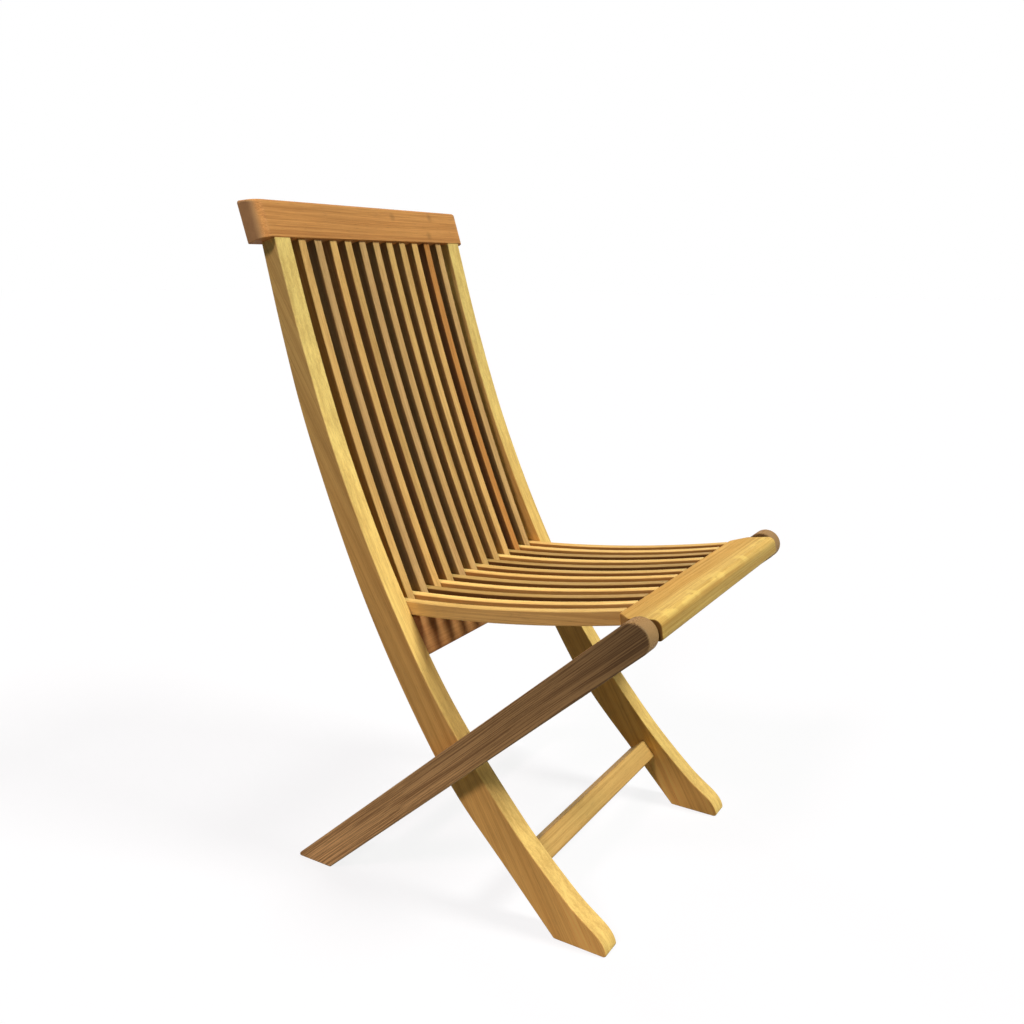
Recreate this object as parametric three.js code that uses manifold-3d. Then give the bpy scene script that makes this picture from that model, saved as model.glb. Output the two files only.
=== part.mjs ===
// A folding slatted side chair in teak, in millimetres, with +Z up. The sitter faces -Y.
// The origin is on the floor, in the middle of the chair's width and depth. Left and right are the sitter's.
//
// Two frames cross like scissors. The back frame is a pair of bowed stiles that run from the crest rail down
// to the front feet. The rear legs run outside it, from the seat's front rail down to the rear feet. The seat
// turns on the tops of the rear legs, and its slats pass between the back slats. A rod through their rear ends
// bears on the back slats from behind: it keeps the frames from opening further, and it slides up the back
// as the chair folds.

import * as THREE from "three";
import { mergeVertices } from "three/addons/utils/BufferGeometryUtils.js";
import Module from "manifold-3d";

const wasm = await Module();
wasm.setup();

// Overall sizes and the two pivots of the side view. The crossing pivot is placed from the stile's front edge.
const totalHeight = 900;
const crossPivotHeight = 195;
const crossPivotSetback = 27.6;
const seatPivotY = -268.5;
const seatPivotHeight = 425;

// Fits
const fitGap = 0.3;
const runningGap = 0.1;
const cutOverrun = 4;
const mergeTolerance = 0.0001;

// Slats: those of the seat pass between those of the back, so both share one thickness and one spacing
const backSlatCount = 11;
const slatThickness = 14.2;
const slatSideGap = 1.08;
const slatEase = 1.1;
const slatTenonThickness = 8;
const slatTenonDepth = 9;
const slatTenonLength = 16;

// Stiles: the front and rear edges are smooth curves through stations. Each station is a share of the
// height under the crest rail and a share of the run from the toe.
const stileThickness = 29;
const stileToeY = -254;
const stileRun = 506;
const stileToeRadius = 5;
const stileToeReachShare = 1.34;
const stileHeelReachShare = 1.2;
const stileHeelRadius = 3;
const stileEase = 1.4;
const stileTenonDepth = 13;
const stileFrontShares = [
  [0, 0.03],
  [0.026, 0.052],
  [0.07, 0.148],
  [0.164, 0.306],
  [0.322, 0.5176],
  [0.492, 0.681],
  [0.672, 0.818],
  [0.847, 0.921],
  [1, 0.996],
];
const stileRearShares = [
  [0, 0.178],
  [0.088, 0.317],
  [0.182, 0.465],
  [0.274, 0.573],
  [0.403, 0.6964],
  [0.536, 0.8012],
  [0.716, 0.9172],
  [0.849, 0.983],
  [1, 1.0445],
];

// Crest rail: it leans with the back and overhangs the stiles, and its top falls a little to the rear
const crestHeight = 48.6;
const crestDepth = 31;
const crestLean = THREE.MathUtils.degToRad(17.5);
const crestTopFall = THREE.MathUtils.degToRad(4);
const crestProud = 0.9;
const crestOverhang = 18.5;
const crestCornerRadius = 16;
const crestRearRadius = 3;
const crestEase = 2.6;

// Back slats: their front edges stand behind those of the stiles, least at the crest rail
const backSlatDepth = 16;
const backSlatBow = 10.2;
const backSlatHeadSetback = 2.8;
const backSlatFootSetback = 12.3;

// Lower back rail, with a level top that the seat rests on
const lowerRailTop = 372.8;
const lowerRailBottom = 327;
const lowerRailDepth = 30;
const lowerRailLean = THREE.MathUtils.degToRad(30);
const lowerRailRadius = 2.5;
const lowerRailTenonHeight = 30;

// Front stretcher, between the stiles above the front feet
const frontStretcherHeight = 99.3;
const frontStretcherSetback = 19.5;
const frontStretcherWidth = 29.6;
const frontStretcherDepth = 31.5;
const frontStretcherLean = THREE.MathUtils.degToRad(41);

// Rear legs and the stretcher between them. The crossing pivot lies below the middle of the leg, so that the
// chair can fold flat before the seat slats meet the crest rail.
const legThickness = 27;
const legDepth = 40.6;
const legPivotOffset = 9.8;
const legSideGap = 2;
const legEase = 2.4;
const legHeelRadius = 3;
const rearStretcherReach = 200;
const rearStretcherWidth = 26;
const rearStretcherDepth = 30;

// Stretchers and the lower rail share one tenon and one edge rounding
const railTenonLength = 20;
const railTenonThickness = 12;
const stretcherTenonWidth = 16;
const railEase = 1.5;
const stretcherRadius = 3;

// Seat: a front rail on the seat pivots, and slats that dip in the middle
const seatRailRise = 17.2;
const seatRailThickness = 25.4;
const seatRailFront = 25.4;
const seatRailRear = 36;
const seatRailTilt = THREE.MathUtils.degToRad(9.2);
const seatRailEndGap = 3;
const seatRailTopRadius = 10;
const seatRailLowerRadius = 5;
const seatRailRearRadius = 3;
const seatRailEase = 2;
const seatCornerCut = 21;
const seatSlatDepth = 17.8;
const seatSlatDip = 7;
const seatSlatRestGap = 0.5;
const seatSlatReach = 6.8;
const seatSlatEndRadius = 8.2;

// Rod through the rear ends of the seat slats, behind the back slats
const rodRadius = 3;
const rodEndInset = 0.8;
const rodEndEase = 0.8;

// Pins, bolts and washers
const seatPinRadius = 4;
const seatPinInRail = 32;
const seatPinInLeg = 18;
const boltRadius = 4;
const boltInLeg = 19;
const boltHeadRadius = 9;
const boltHeadHeight = 4;
const boltHeadSink = 1.2;
const boltSocketRadius = 2.9;
const boltSocketDepth = 2.2;
const pinEase = 0.8;
const washerRadius = 12;
const seatWasherRadius = 9;

// Steps of the curves
const stepsPerStation = 5;
const slatSteps = 12;
const turnSteps = 24;
const socketSides = 6;
const filletSteps = 6;
const smallFilletSteps = 2;
const largestSmallFillet = 6;

const quarterTurn = Math.PI / 2;
const half = (size) => size / 2;

// Points and directions of the side view: x holds the chair's y, and y holds its z
const point = (y, z) => new THREE.Vector2(y, z);
const leaning = (lean) => point(Math.sin(lean), Math.cos(lean));
const rightOf = (direction) => point(direction.y, -direction.x);
const from = (start, direction, distance) => start.clone().addScaledVector(direction, distance);
const between = (start, end) => end.clone().sub(start).normalize();

// Places across the chair
const slatPitch = 2 * (slatThickness + slatSideGap);
const innerHalfWidth = half(backSlatCount * slatPitch + slatThickness) + slatSideGap;
const outerHalfWidth = innerHalfWidth + stileThickness;
const legInnerX = outerHalfWidth + legSideGap;
const legOuterX = legInnerX + legThickness;
const seatRailHalfLength = legInnerX - seatRailEndGap;

const placesAcross = (count) => Array.from({ length: count }, (_, i) => (i - half(count - 1)) * slatPitch);
const backSlatPlaces = placesAcross(backSlatCount);
const seatSlatPlaces = placesAcross(backSlatCount + 1);

// Solids that can be joined and cut
function solid(geometry) {
  const bare = geometry.index ? geometry.toNonIndexed() : geometry.clone();
  const shell = new THREE.BufferGeometry().setAttribute("position", bare.getAttribute("position"));
  const merged = mergeVertices(shell, mergeTolerance);
  return new wasm.Manifold(
    new wasm.Mesh({
      numProp: 3,
      vertProperties: merged.attributes.position.array,
      triVerts: new Uint32Array(merged.index.array),
    }),
  );
}

function geometryOf(body) {
  const mesh = body.getMesh();
  const geometry = new THREE.BufferGeometry();
  geometry.setAttribute("position", new THREE.BufferAttribute(new Float32Array(mesh.vertProperties), 3));
  geometry.setIndex(new THREE.BufferAttribute(new Uint32Array(mesh.triVerts), 1));
  const faceted = geometry.toNonIndexed();
  faceted.computeVertexNormals();
  return faceted;
}

const joined = (body, additions) => additions.reduce((whole, addition) => whole.add(addition), body);
const cut = (body, cutters) => cutters.reduce((whole, cutter) => whole.subtract(cutter), body);

// A side-view outline carried across the chair, with the edges of both ends rounded
function acrossX(outline, fromX, toX, ease) {
  const geometry = new THREE.ExtrudeGeometry(new THREE.Shape(outline), {
    depth: toX - fromX - 2 * ease,
    bevelThickness: ease,
    bevelSize: ease,
    bevelOffset: -ease,
    bevelSegments: ease > slatEase ? smallFilletSteps : 1,
    steps: 1,
  });
  const sideToChair = new THREE.Matrix4().makeBasis(
    new THREE.Vector3(0, 1, 0),
    new THREE.Vector3(0, 0, 1),
    new THREE.Vector3(1, 0, 0),
  );
  return solid(geometry.applyMatrix4(sideToChair).translate(fromX + ease, 0, 0));
}

// A block whose height leans back in the side view
function block(x, centre, lean, width, depth, height) {
  const box = new THREE.BoxGeometry(width, depth, height);
  return solid(box.rotateX(-lean).translate(x, centre.x, centre.y));
}

// A round bar or bore along x, from a profile of places and radii that starts and ends on the axis
function turned(profile, centre) {
  const lathe = new THREE.LatheGeometry(profile.map(([x, radius]) => point(radius, x)), turnSteps);
  return solid(lathe.rotateZ(-quarterTurn).translate(0, centre.x, centre.y));
}

function bore(fromX, toX, radius, centre) {
  return turned([[fromX, 0], [fromX, radius], [toX, radius], [toX, 0]], centre);
}

const mirrored = (body) => body.mirror([1, 0, 0]);

// A corner replaced by an arc of a given radius
function arcAt(before, corner, after, radius, steps) {
  const toBefore = between(corner, before);
  const toAfter = between(corner, after);
  const halfAngle = half(Math.acos(THREE.MathUtils.clamp(toBefore.dot(toAfter), -1, 1)));
  const inward = toBefore.clone().add(toAfter).normalize();
  const centre = from(corner, inward, radius / Math.sin(halfAngle));
  const reach = radius / Math.tan(halfAngle);
  const start = from(corner, toBefore, reach).sub(centre);
  const sweep = start.angleTo(from(corner, toAfter, reach).sub(centre));
  const way = Math.sign(start.cross(from(corner, toAfter, reach).sub(centre)));
  return Array.from({ length: steps + 1 }, (_, i) =>
    start.clone().rotateAround(point(0, 0), (way * sweep * i) / steps).add(centre),
  );
}

// An outline with a radius for each of its corners, sharp where the radius is zero
function rounded(corners, radii) {
  const count = corners.length;
  return corners.flatMap((corner, i) => {
    if (radii[i] === 0) return [corner];
    const steps = radii[i] > largestSmallFillet ? filletSteps : smallFilletSteps;
    return arcAt(corners[(i + count - 1) % count], corner, corners[(i + 1) % count], radii[i], steps);
  });
}

// The part of a closed outline on the side of a line that keep points to
function trimmed(outline, through, keep) {
  const inside = (p) => p.clone().sub(through).dot(keep);
  return outline.flatMap((here, i) => {
    const next = outline[(i + 1) % outline.length];
    const a = inside(here);
    const b = inside(next);
    const crossing = a * b < 0 ? [here.clone().lerp(next, a / (a - b))] : [];
    return a >= 0 ? [here, ...crossing] : crossing;
  });
}

// A leaning rectangle of the side view, from its front lower corner
function rectangle(corner, lean, depth, height) {
  const up = leaning(lean);
  const rear = from(corner, rightOf(up), depth);
  return [corner, rear, from(rear, up, height), from(corner, up, height)];
}

// An arc bowed to the right of the way from start to end
function bow(start, end, rise) {
  const ahead = between(start, end);
  const aside = rightOf(ahead);
  const halfChord = half(start.distanceTo(end));
  const radius = (halfChord ** 2 + rise ** 2) / (2 * rise);
  const centre = from(from(start, ahead, halfChord), aside, rise - radius);
  const halfTurn = Math.asin(halfChord / radius);
  const at = (turn, offset) =>
    from(from(centre, aside, (radius + offset) * Math.cos(turn)), ahead, (radius + offset) * Math.sin(turn));
  return { centre, radius, halfTurn, at };
}

// A strip along a bow, between two offsets from it, run past its start and its end
function strip(curve, inner, outer, before, after) {
  const first = -curve.halfTurn - before / curve.radius;
  const last = curve.halfTurn + after / curve.radius;
  const turns = Array.from({ length: slatSteps + 1 }, (_, i) => THREE.MathUtils.lerp(first, last, i / slatSteps));
  const outerSide = turns.map((turn) => curve.at(turn, outer));
  const innerSide = turns.map((turn) => curve.at(turn, inner));
  return [...outerSide, ...innerSide.reverse()];
}

// Crest rail, in the side view
const crestUp = leaning(crestLean);
const crestBack = rightOf(crestUp);
const crestFoot = totalHeight - crestHeight * Math.cos(crestLean);

// Stile, in the side view
function stileEdge(shares) {
  const stations = shares.map(([heightShare, runShare]) =>
    point(stileToeY + stileRun * runShare, crestFoot * heightShare),
  );
  return new THREE.SplineCurve(stations).getPoints(stepsPerStation * (stations.length - 1));
}

const stileFront = stileEdge(stileFrontShares);
const stileRear = stileEdge(stileRearShares);

function stileFrontAt(height) {
  const above = stileFront.findIndex((p) => p.y >= height);
  const low = stileFront[above - 1];
  const high = stileFront[above];
  return low.clone().lerp(high, (height - low.y) / (high.y - low.y));
}

const crossPivot = from(stileFrontAt(crossPivotHeight), point(1, 0), crossPivotSetback);
const seatPivot = point(seatPivotY, seatPivotHeight);
const crestCorner = from(stileFront[stileFront.length - 1], point(1, 0), -crestProud);

function stileOutline() {
  const toe = stileFront[0];
  const heel = stileRear[0];
  const front = stileFront.filter((p) => p.distanceTo(toe) > stileToeReachShare * stileToeRadius);
  const rear = stileRear.filter((p) => p.distanceTo(heel) > stileHeelReachShare * stileHeelRadius).reverse();
  const whole = [
    ...arcAt(rear[rear.length - 1], heel, toe, stileHeelRadius, smallFilletSteps),
    ...arcAt(heel, toe, front[0], stileToeRadius, filletSteps),
    ...front,
    ...rear,
  ];
  return trimmed(whole, from(crestCorner, crestUp, -fitGap), crestUp.clone().negate());
}

// A tenon that stands out of the top of a piece into the crest rail. Grown by the gap, it cuts the mortise.
function crestTenon(x, behindCorner, width, depth, gap) {
  const seat = from(crestCorner, crestBack, behindCorner);
  const centre = from(seat, crestUp, half(slatTenonLength - cutOverrun));
  return block(x, centre, crestLean, width + 2 * gap, depth + 2 * gap, slatTenonLength + cutOverrun + 2 * gap);
}

const stileMiddleX = half(innerHalfWidth + outerHalfWidth);
const stileTopBehind = half(crestDepth);
const stileCrestTenon = (gap) =>
  crestTenon(stileMiddleX, stileTopBehind, railTenonThickness, stileTenonDepth, gap);

// Back slats
const lowerRailFrontFoot = stileFrontAt(lowerRailBottom);
const slatHead = from(stileFrontAt(crestFoot - cutOverrun), point(1, 0), backSlatHeadSetback);
const slatFoot = from(stileFrontAt(lowerRailTop), point(1, 0), backSlatFootSetback);
const backCurve = bow(slatFoot, slatHead, backSlatBow);
const slatFootLean = Math.atan2(slatHead.x - slatFoot.x, slatHead.y - slatFoot.y) + backCurve.halfTurn;

const slatHeadBehind = slatHead.clone().sub(crestCorner).dot(crestBack) + half(backSlatDepth);
const slatCrestTenon = (x, gap) => crestTenon(x, slatHeadBehind, slatTenonThickness, slatTenonDepth, gap);

function slatRailTenon(x, gap) {
  const seat = from(slatFoot, point(1, 0), half(backSlatDepth) / Math.cos(slatFootLean));
  const centre = from(seat, leaning(slatFootLean), half(cutOverrun - slatTenonLength));
  const width = slatTenonThickness + 2 * gap;
  return block(x, centre, slatFootLean, width, slatTenonDepth + 2 * gap, slatTenonLength + cutOverrun + 2 * gap);
}

function makeBackSlat() {
  const run = strip(backCurve, 0, backSlatDepth, 2 * cutOverrun, 3 * cutOverrun);
  const underCrest = trimmed(run, from(crestCorner, crestUp, -fitGap), crestUp.clone().negate());
  const outline = trimmed(underCrest, point(0, lowerRailTop + fitGap), point(0, 1));
  const body = acrossX(outline, -half(slatThickness), half(slatThickness), slatEase);
  return joined(body, [slatCrestTenon(0, 0), slatRailTenon(0, 0)]);
}

// Heights grow towards the rear by a rate for each unit of height, so the top of a leaning plank is nearly level
function risingToRear(geometry, rate) {
  const places = geometry.getAttribute("position");
  for (let i = 0; i < places.count; i += 1) {
    places.setZ(i, places.getZ(i) * (1 + rate * places.getY(i)));
  }
  return geometry;
}

// Crest rail: a plank with rounded ends, seen from above as an outline of half-lengths and depths
function makeCrestRail() {
  const halfLength = outerHalfWidth + crestOverhang;
  const corners = [
    point(-halfLength, 0),
    point(halfLength, 0),
    point(halfLength, crestDepth),
    point(-halfLength, crestDepth),
  ];
  const plan = rounded(corners, [crestCornerRadius, crestCornerRadius, crestRearRadius, crestRearRadius]);
  const plank = new THREE.ExtrudeGeometry(new THREE.Shape(plan), {
    depth: crestHeight - 2 * crestEase,
    bevelThickness: crestEase,
    bevelSize: crestEase,
    bevelOffset: -crestEase,
    bevelSegments: 2 * smallFilletSteps,
    steps: 1,
  });
  const rate = Math.tan(crestLean - crestTopFall) / crestHeight;
  const levelled = risingToRear(plank.translate(0, 0, crestEase), rate);
  levelled.rotateX(-crestLean).translate(0, crestCorner.x, crestCorner.y);
  const slatMortises = backSlatPlaces.map((x) => slatCrestTenon(x, fitGap));
  const stileMortise = stileCrestTenon(fitGap);
  return cut(solid(levelled), [...slatMortises, stileMortise, mirrored(stileMortise)]);
}

// A tenon through the whole length of a rail, standing out of both ends. Grown by the gap, it cuts mortises.
function throughTenon(centre, lean, depth, height, halfLength, gap) {
  const width = 2 * (halfLength + railTenonLength + gap);
  return block(0, centre, lean, width, depth + 2 * gap, height + 2 * gap);
}

// Lower back rail
const lowerRailUp = leaning(lowerRailLean);
const lowerRailHeight = (lowerRailTop - lowerRailBottom) / Math.cos(lowerRailLean);

function lowerRailTenon(gap) {
  const middle = from(lowerRailFrontFoot, lowerRailUp, half(lowerRailHeight));
  const centre = from(middle, rightOf(lowerRailUp), half(lowerRailDepth));
  const halfLength = innerHalfWidth;
  return throughTenon(centre, lowerRailLean, railTenonThickness, lowerRailTenonHeight, halfLength, gap);
}

function makeLowerRail() {
  const back = rightOf(lowerRailUp);
  const tall = 2 * lowerRailHeight;
  const whole = rectangle(lowerRailFrontFoot, lowerRailLean, lowerRailDepth, tall);
  const radii = [lowerRailRadius, lowerRailRadius, lowerRailRadius, lowerRailRadius];
  const levelled = trimmed(whole, point(back.x, lowerRailTop), point(0, -1));
  const outline = rounded(levelled, radii);
  const body = acrossX(outline, fitGap - innerHalfWidth, innerHalfWidth - fitGap, railEase);
  return cut(joined(body, [lowerRailTenon(0)]), backSlatPlaces.map((x) => slatRailTenon(x, fitGap)));
}

// Front stretcher
const frontStretcherUp = leaning(frontStretcherLean);
const stileRunAt = (height) => between(stileFrontAt(height - cutOverrun), stileFrontAt(height + cutOverrun));
const frontStretcherFace = from(
  stileFrontAt(frontStretcherHeight),
  rightOf(stileRunAt(frontStretcherHeight)),
  frontStretcherSetback,
);

function frontStretcherTenon(gap) {
  const centre = from(frontStretcherFace, rightOf(frontStretcherUp), half(frontStretcherDepth));
  const lean = frontStretcherLean;
  return throughTenon(centre, lean, stretcherTenonWidth, railTenonThickness, innerHalfWidth, gap);
}

function makeFrontStretcher() {
  const corner = from(frontStretcherFace, frontStretcherUp, -half(frontStretcherWidth));
  const corners = rectangle(corner, frontStretcherLean, frontStretcherDepth, frontStretcherWidth);
  const outline = rounded(corners, corners.map(() => stretcherRadius));
  const body = acrossX(outline, fitGap - innerHalfWidth, innerHalfWidth - fitGap, railEase);
  return joined(body, [frontStretcherTenon(0)]);
}

// Stile: the right one is the mirror of the left
function makeStile() {
  const body = acrossX(stileOutline(), innerHalfWidth, outerHalfWidth, stileEase);
  const shankBore = bore(innerHalfWidth - cutOverrun, outerHalfWidth + cutOverrun, boltRadius + runningGap, crossPivot);
  const headFloor = innerHalfWidth + boltHeadSink + boltHeadHeight + fitGap;
  const headBore = bore(innerHalfWidth - cutOverrun, headFloor, boltHeadRadius + fitGap, crossPivot);
  const withTenon = joined(body, [stileCrestTenon(0)]);
  return cut(withTenon, [shankBore, headBore, lowerRailTenon(fitGap), frontStretcherTenon(fitGap)]);
}

// Rear legs
const pivotsApart = crossPivot.distanceTo(seatPivot);
const slopeThroughPivots = Math.atan2(seatPivot.y - crossPivot.y, crossPivot.x - seatPivot.x);
const legSlope = slopeThroughPivots - Math.asin(legPivotOffset / pivotsApart);
const legAlong = point(-Math.cos(legSlope), Math.sin(legSlope));
const legRight = rightOf(legAlong);
const legFootAt = from(seatPivot, legAlong, -seatPivot.y / legAlong.y);

function legOutline() {
  const topSide = Array.from({ length: 2 * filletSteps + 1 }, (_, i) => {
    const turn = (Math.PI * i) / (2 * filletSteps);
    const across = from(seatPivot, legRight, half(legDepth) * Math.cos(turn));
    return from(across, legAlong, half(legDepth) * Math.sin(turn));
  });
  const below = from(legFootAt, legAlong, -legDepth);
  const rearCorner = from(below, legRight, half(legDepth));
  const frontCorner = from(below, legRight, -half(legDepth));
  const whole = trimmed([...topSide, frontCorner, rearCorner], point(0, 0), point(0, 1));
  const radii = whole.map((p) => (p.y < legHeelRadius ? legHeelRadius : 0));
  return rounded(whole, radii);
}

const rearStretcherCentre = from(crossPivot, legAlong, -rearStretcherReach);
const rearStretcherLean = legSlope - quarterTurn;

function rearStretcherMiddle() {
  const offCentre = crossPivot.clone().sub(seatPivot).dot(legRight);
  return from(rearStretcherCentre, legRight, -offCentre);
}

function rearStretcherTenon(gap) {
  const lean = rearStretcherLean;
  return throughTenon(rearStretcherMiddle(), lean, stretcherTenonWidth, railTenonThickness, legInnerX, gap);
}

function makeRearStretcher() {
  const up = leaning(rearStretcherLean);
  const low = from(rearStretcherMiddle(), up, -half(rearStretcherWidth));
  const corner = from(low, rightOf(up), -half(rearStretcherDepth));
  const corners = rectangle(corner, rearStretcherLean, rearStretcherDepth, rearStretcherWidth);
  const outline = rounded(corners, corners.map(() => stretcherRadius));
  const body = acrossX(outline, fitGap - legInnerX, legInnerX - fitGap, railEase);
  return joined(body, [rearStretcherTenon(0)]);
}

function makeRearLeg() {
  const body = acrossX(legOutline(), legInnerX, legOuterX, legEase);
  const pinBore = bore(legInnerX - cutOverrun, legInnerX + seatPinInLeg + fitGap, seatPinRadius + runningGap, seatPivot);
  const boltBore = bore(legInnerX - cutOverrun, legInnerX + boltInLeg + fitGap, boltRadius + runningGap, crossPivot);
  return cut(body, [pinBore, boltBore, rearStretcherTenon(fitGap)]);
}

// Seat front rail, with its origin on the seat pivot
const seatUp = leaning(seatRailTilt);
const seatBack = rightOf(seatUp);
const inSeat = (back, up) => from(from(seatPivot, seatBack, back), seatUp, up);
const seatRailMiddle = seatRailRise - half(seatRailThickness);

function seatSlatTenon(x, gap) {
  const centre = inSeat(seatRailRear + half(cutOverrun - slatTenonLength), seatRailMiddle);
  const length = slatTenonLength + cutOverrun + 2 * gap;
  return block(x, centre, seatRailTilt, slatTenonThickness + 2 * gap, length, slatTenonDepth + 2 * gap);
}

function seatCornerCutter() {
  const reach = seatCornerCut + cutOverrun;
  const triangle = [
    point(seatRailHalfLength - seatCornerCut, seatRailRear),
    point(seatRailHalfLength, seatRailRear - seatCornerCut),
    point(seatRailHalfLength + reach, seatRailRear - seatCornerCut),
    point(seatRailHalfLength + reach, seatRailRear + reach),
    point(seatRailHalfLength - seatCornerCut, seatRailRear + reach),
  ];
  const prism = new THREE.ExtrudeGeometry(new THREE.Shape(triangle), {
    depth: 2 * seatRailThickness,
    bevelEnabled: false,
    steps: 1,
  });
  prism.translate(0, 0, seatRailMiddle - seatRailThickness);
  return solid(prism.rotateX(-seatRailTilt).translate(0, seatPivot.x, seatPivot.y));
}

function makeSeatFrontRail() {
  const top = seatRailRise;
  const bottom = seatRailRise - seatRailThickness;
  const corners = [
    inSeat(-seatRailFront, bottom),
    inSeat(seatRailRear, bottom),
    inSeat(seatRailRear, top),
    inSeat(-seatRailFront, top),
  ];
  const radii = [seatRailLowerRadius, seatRailRearRadius, seatRailRearRadius, seatRailTopRadius];
  const body = acrossX(rounded(corners, radii), -seatRailHalfLength, seatRailHalfLength, seatRailEase);
  const end = seatRailHalfLength + cutOverrun;
  const pinBore = bore(seatRailHalfLength - seatPinInRail - fitGap, end, seatPinRadius + runningGap, seatPivot);
  const mortises = seatSlatPlaces.map((x) => seatSlatTenon(x, fitGap));
  const cornerCutter = seatCornerCutter();
  return cut(body, [pinBore, mirrored(pinBore), cornerCutter, mirrored(cornerCutter), ...mortises]);
}

// Rod behind the back slats, at the height at which the seat slats rest on the lower rail
const rodHeight = lowerRailTop + seatSlatRestGap + half(seatSlatDepth);

function rodCentre() {
  const reach = backCurve.radius + backSlatDepth + fitGap + rodRadius;
  const rise = rodHeight - backCurve.centre.y;
  return point(backCurve.centre.x + Math.sqrt(reach ** 2 - rise ** 2), rodHeight);
}

const rod = rodCentre();
const rodEndX = seatSlatPlaces[backSlatCount] + half(slatThickness) - rodEndInset;

function makeRod() {
  const profile = [
    [-rodEndX, 0],
    [-rodEndX, rodRadius - rodEndEase],
    [rodEndEase - rodEndX, rodRadius],
    [rodEndX - rodEndEase, rodRadius],
    [rodEndX, rodRadius - rodEndEase],
    [rodEndX, 0],
  ];
  return turned(profile, rod);
}

// Seat slats: flush with the front rail at its rear edge, and rounded behind the rod
function makeSeatSlat() {
  const front = inSeat(seatRailRear, seatRailRise);
  const rear = from(rod, point(0, 1), half(seatSlatDepth));
  const curve = bow(front, rear, seatSlatDip);
  const run = strip(curve, 0, seatSlatDepth, 2 * cutOverrun, seatSlatReach);
  const radii = run.map((_, i) => (i === slatSteps || i === slatSteps + 1 ? seatSlatEndRadius : 0));
  const outline = trimmed(rounded(run, radii), inSeat(seatRailRear + fitGap, 0), seatBack);
  const body = acrossX(outline, -half(slatThickness), half(slatThickness), slatEase);
  const rodBore = bore(-slatThickness, slatThickness, rodRadius + runningGap, rod);
  return cut(joined(body, [seatSlatTenon(0, 0)]), [rodBore]);
}

// Pivot bolt: a socket head sunk in the stile's inner face, and a shank held in the leg
function makePivotBolt() {
  const headX = innerHalfWidth + boltHeadSink;
  const shankX = headX + boltHeadHeight;
  const tipX = legInnerX + boltInLeg;
  const profile = [
    [headX, 0],
    [headX, boltHeadRadius - pinEase],
    [headX + pinEase, boltHeadRadius],
    [shankX, boltHeadRadius],
    [shankX, boltRadius],
    [tipX - pinEase, boltRadius],
    [tipX, boltRadius - pinEase],
    [tipX, 0],
  ];
  const socket = new THREE.CylinderGeometry(boltSocketRadius, boltSocketRadius, 2 * boltSocketDepth, socketSides);
  const placedSocket = solid(socket.rotateZ(quarterTurn).translate(headX, crossPivot.x, crossPivot.y));
  return cut(turned(profile, crossPivot), [placedSocket]);
}

function makeSeatPin() {
  const innerX = seatRailHalfLength - seatPinInRail;
  const outerX = legInnerX + seatPinInLeg;
  const profile = [
    [innerX, 0],
    [innerX, seatPinRadius - pinEase],
    [innerX + pinEase, seatPinRadius],
    [outerX - pinEase, seatPinRadius],
    [outerX, seatPinRadius - pinEase],
    [outerX, 0],
  ];
  return turned(profile, seatPivot);
}

// A washer fills the space between two faces, less the gap on each side
function makeWasher(fromX, toX, radius, holeRadius, centre) {
  const disc = bore(fromX + fitGap, toX - fitGap, radius, centre);
  return cut(disc, [bore(fromX, toX, holeRadius + runningGap, centre)]);
}

// Finishes
const teak = (color) => new THREE.MeshStandardMaterial({ color, roughness: 0.62, metalness: 0 });
const metal = (color) => new THREE.MeshStandardMaterial({ color, roughness: 0.35, metalness: 1 });
const finishes = {
  stile: teak(0xcda562),
  crest: teak(0xc48a49),
  backSlat: teak(0xc79d5a),
  seatSlat: teak(0xc4a062),
  rail: teak(0xb9894c),
  stretcher: teak(0xd6b270),
  leg: teak(0x7f5c38),
  seatRail: teak(0xd9aa58),
  brass: metal(0xb29658),
};

function named(name, geometry, finish) {
  const mesh = new THREE.Mesh(geometry, finishes[finish]);
  mesh.name = name;
  return mesh;
}

// One mesh each on the left, as made, and on the right, mirrored
function pair(name, body, finish) {
  const left = named(`${name}_left`, geometryOf(body), finish);
  const right = named(`${name}_right`, geometryOf(mirrored(body)), finish);
  return [left, right];
}

function row(name, body, places, finish) {
  const geometry = geometryOf(body);
  return places.map((x, i) => {
    const mesh = named(`${name}_${String(i + 1).padStart(2, "0")}`, geometry, finish);
    mesh.position.x = x;
    return mesh;
  });
}

function grouped(name, members) {
  const group = new THREE.Group();
  group.name = name;
  group.add(...members);
  return group;
}

const pivotWasher = makeWasher(outerHalfWidth, legInnerX, washerRadius, boltRadius, crossPivot);
const seatWasher = makeWasher(seatRailHalfLength, legInnerX, seatWasherRadius, seatPinRadius, seatPivot);

const backFrame = grouped("back_frame", [
  ...pair("stile", makeStile(), "stile"),
  named("crest_rail", geometryOf(makeCrestRail()), "crest"),
  ...row("back_slat", makeBackSlat(), backSlatPlaces, "backSlat"),
  named("lower_back_rail", geometryOf(makeLowerRail()), "rail"),
  named("front_stretcher", geometryOf(makeFrontStretcher()), "stretcher"),
]);

const rearLegs = grouped("rear_legs", [
  ...pair("rear_leg", makeRearLeg(), "leg"),
  named("rear_stretcher", geometryOf(makeRearStretcher()), "stretcher"),
  ...pair("pivot_bolt", makePivotBolt(), "brass"),
  ...pair("pivot_washer", pivotWasher, "brass"),
]);

const seat = grouped("seat", [
  named("seat_front_rail", geometryOf(makeSeatFrontRail()), "seatRail"),
  ...row("seat_slat", makeSeatSlat(), seatSlatPlaces, "seatSlat"),
  named("seat_rear_rod", geometryOf(makeRod()), "brass"),
  ...pair("seat_pin", makeSeatPin(), "brass"),
  ...pair("seat_washer", seatWasher, "brass"),
]);

rearLegs.add(seat);
const chair = grouped("folding_chair", [backFrame, rearLegs]);

export default chair;
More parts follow.
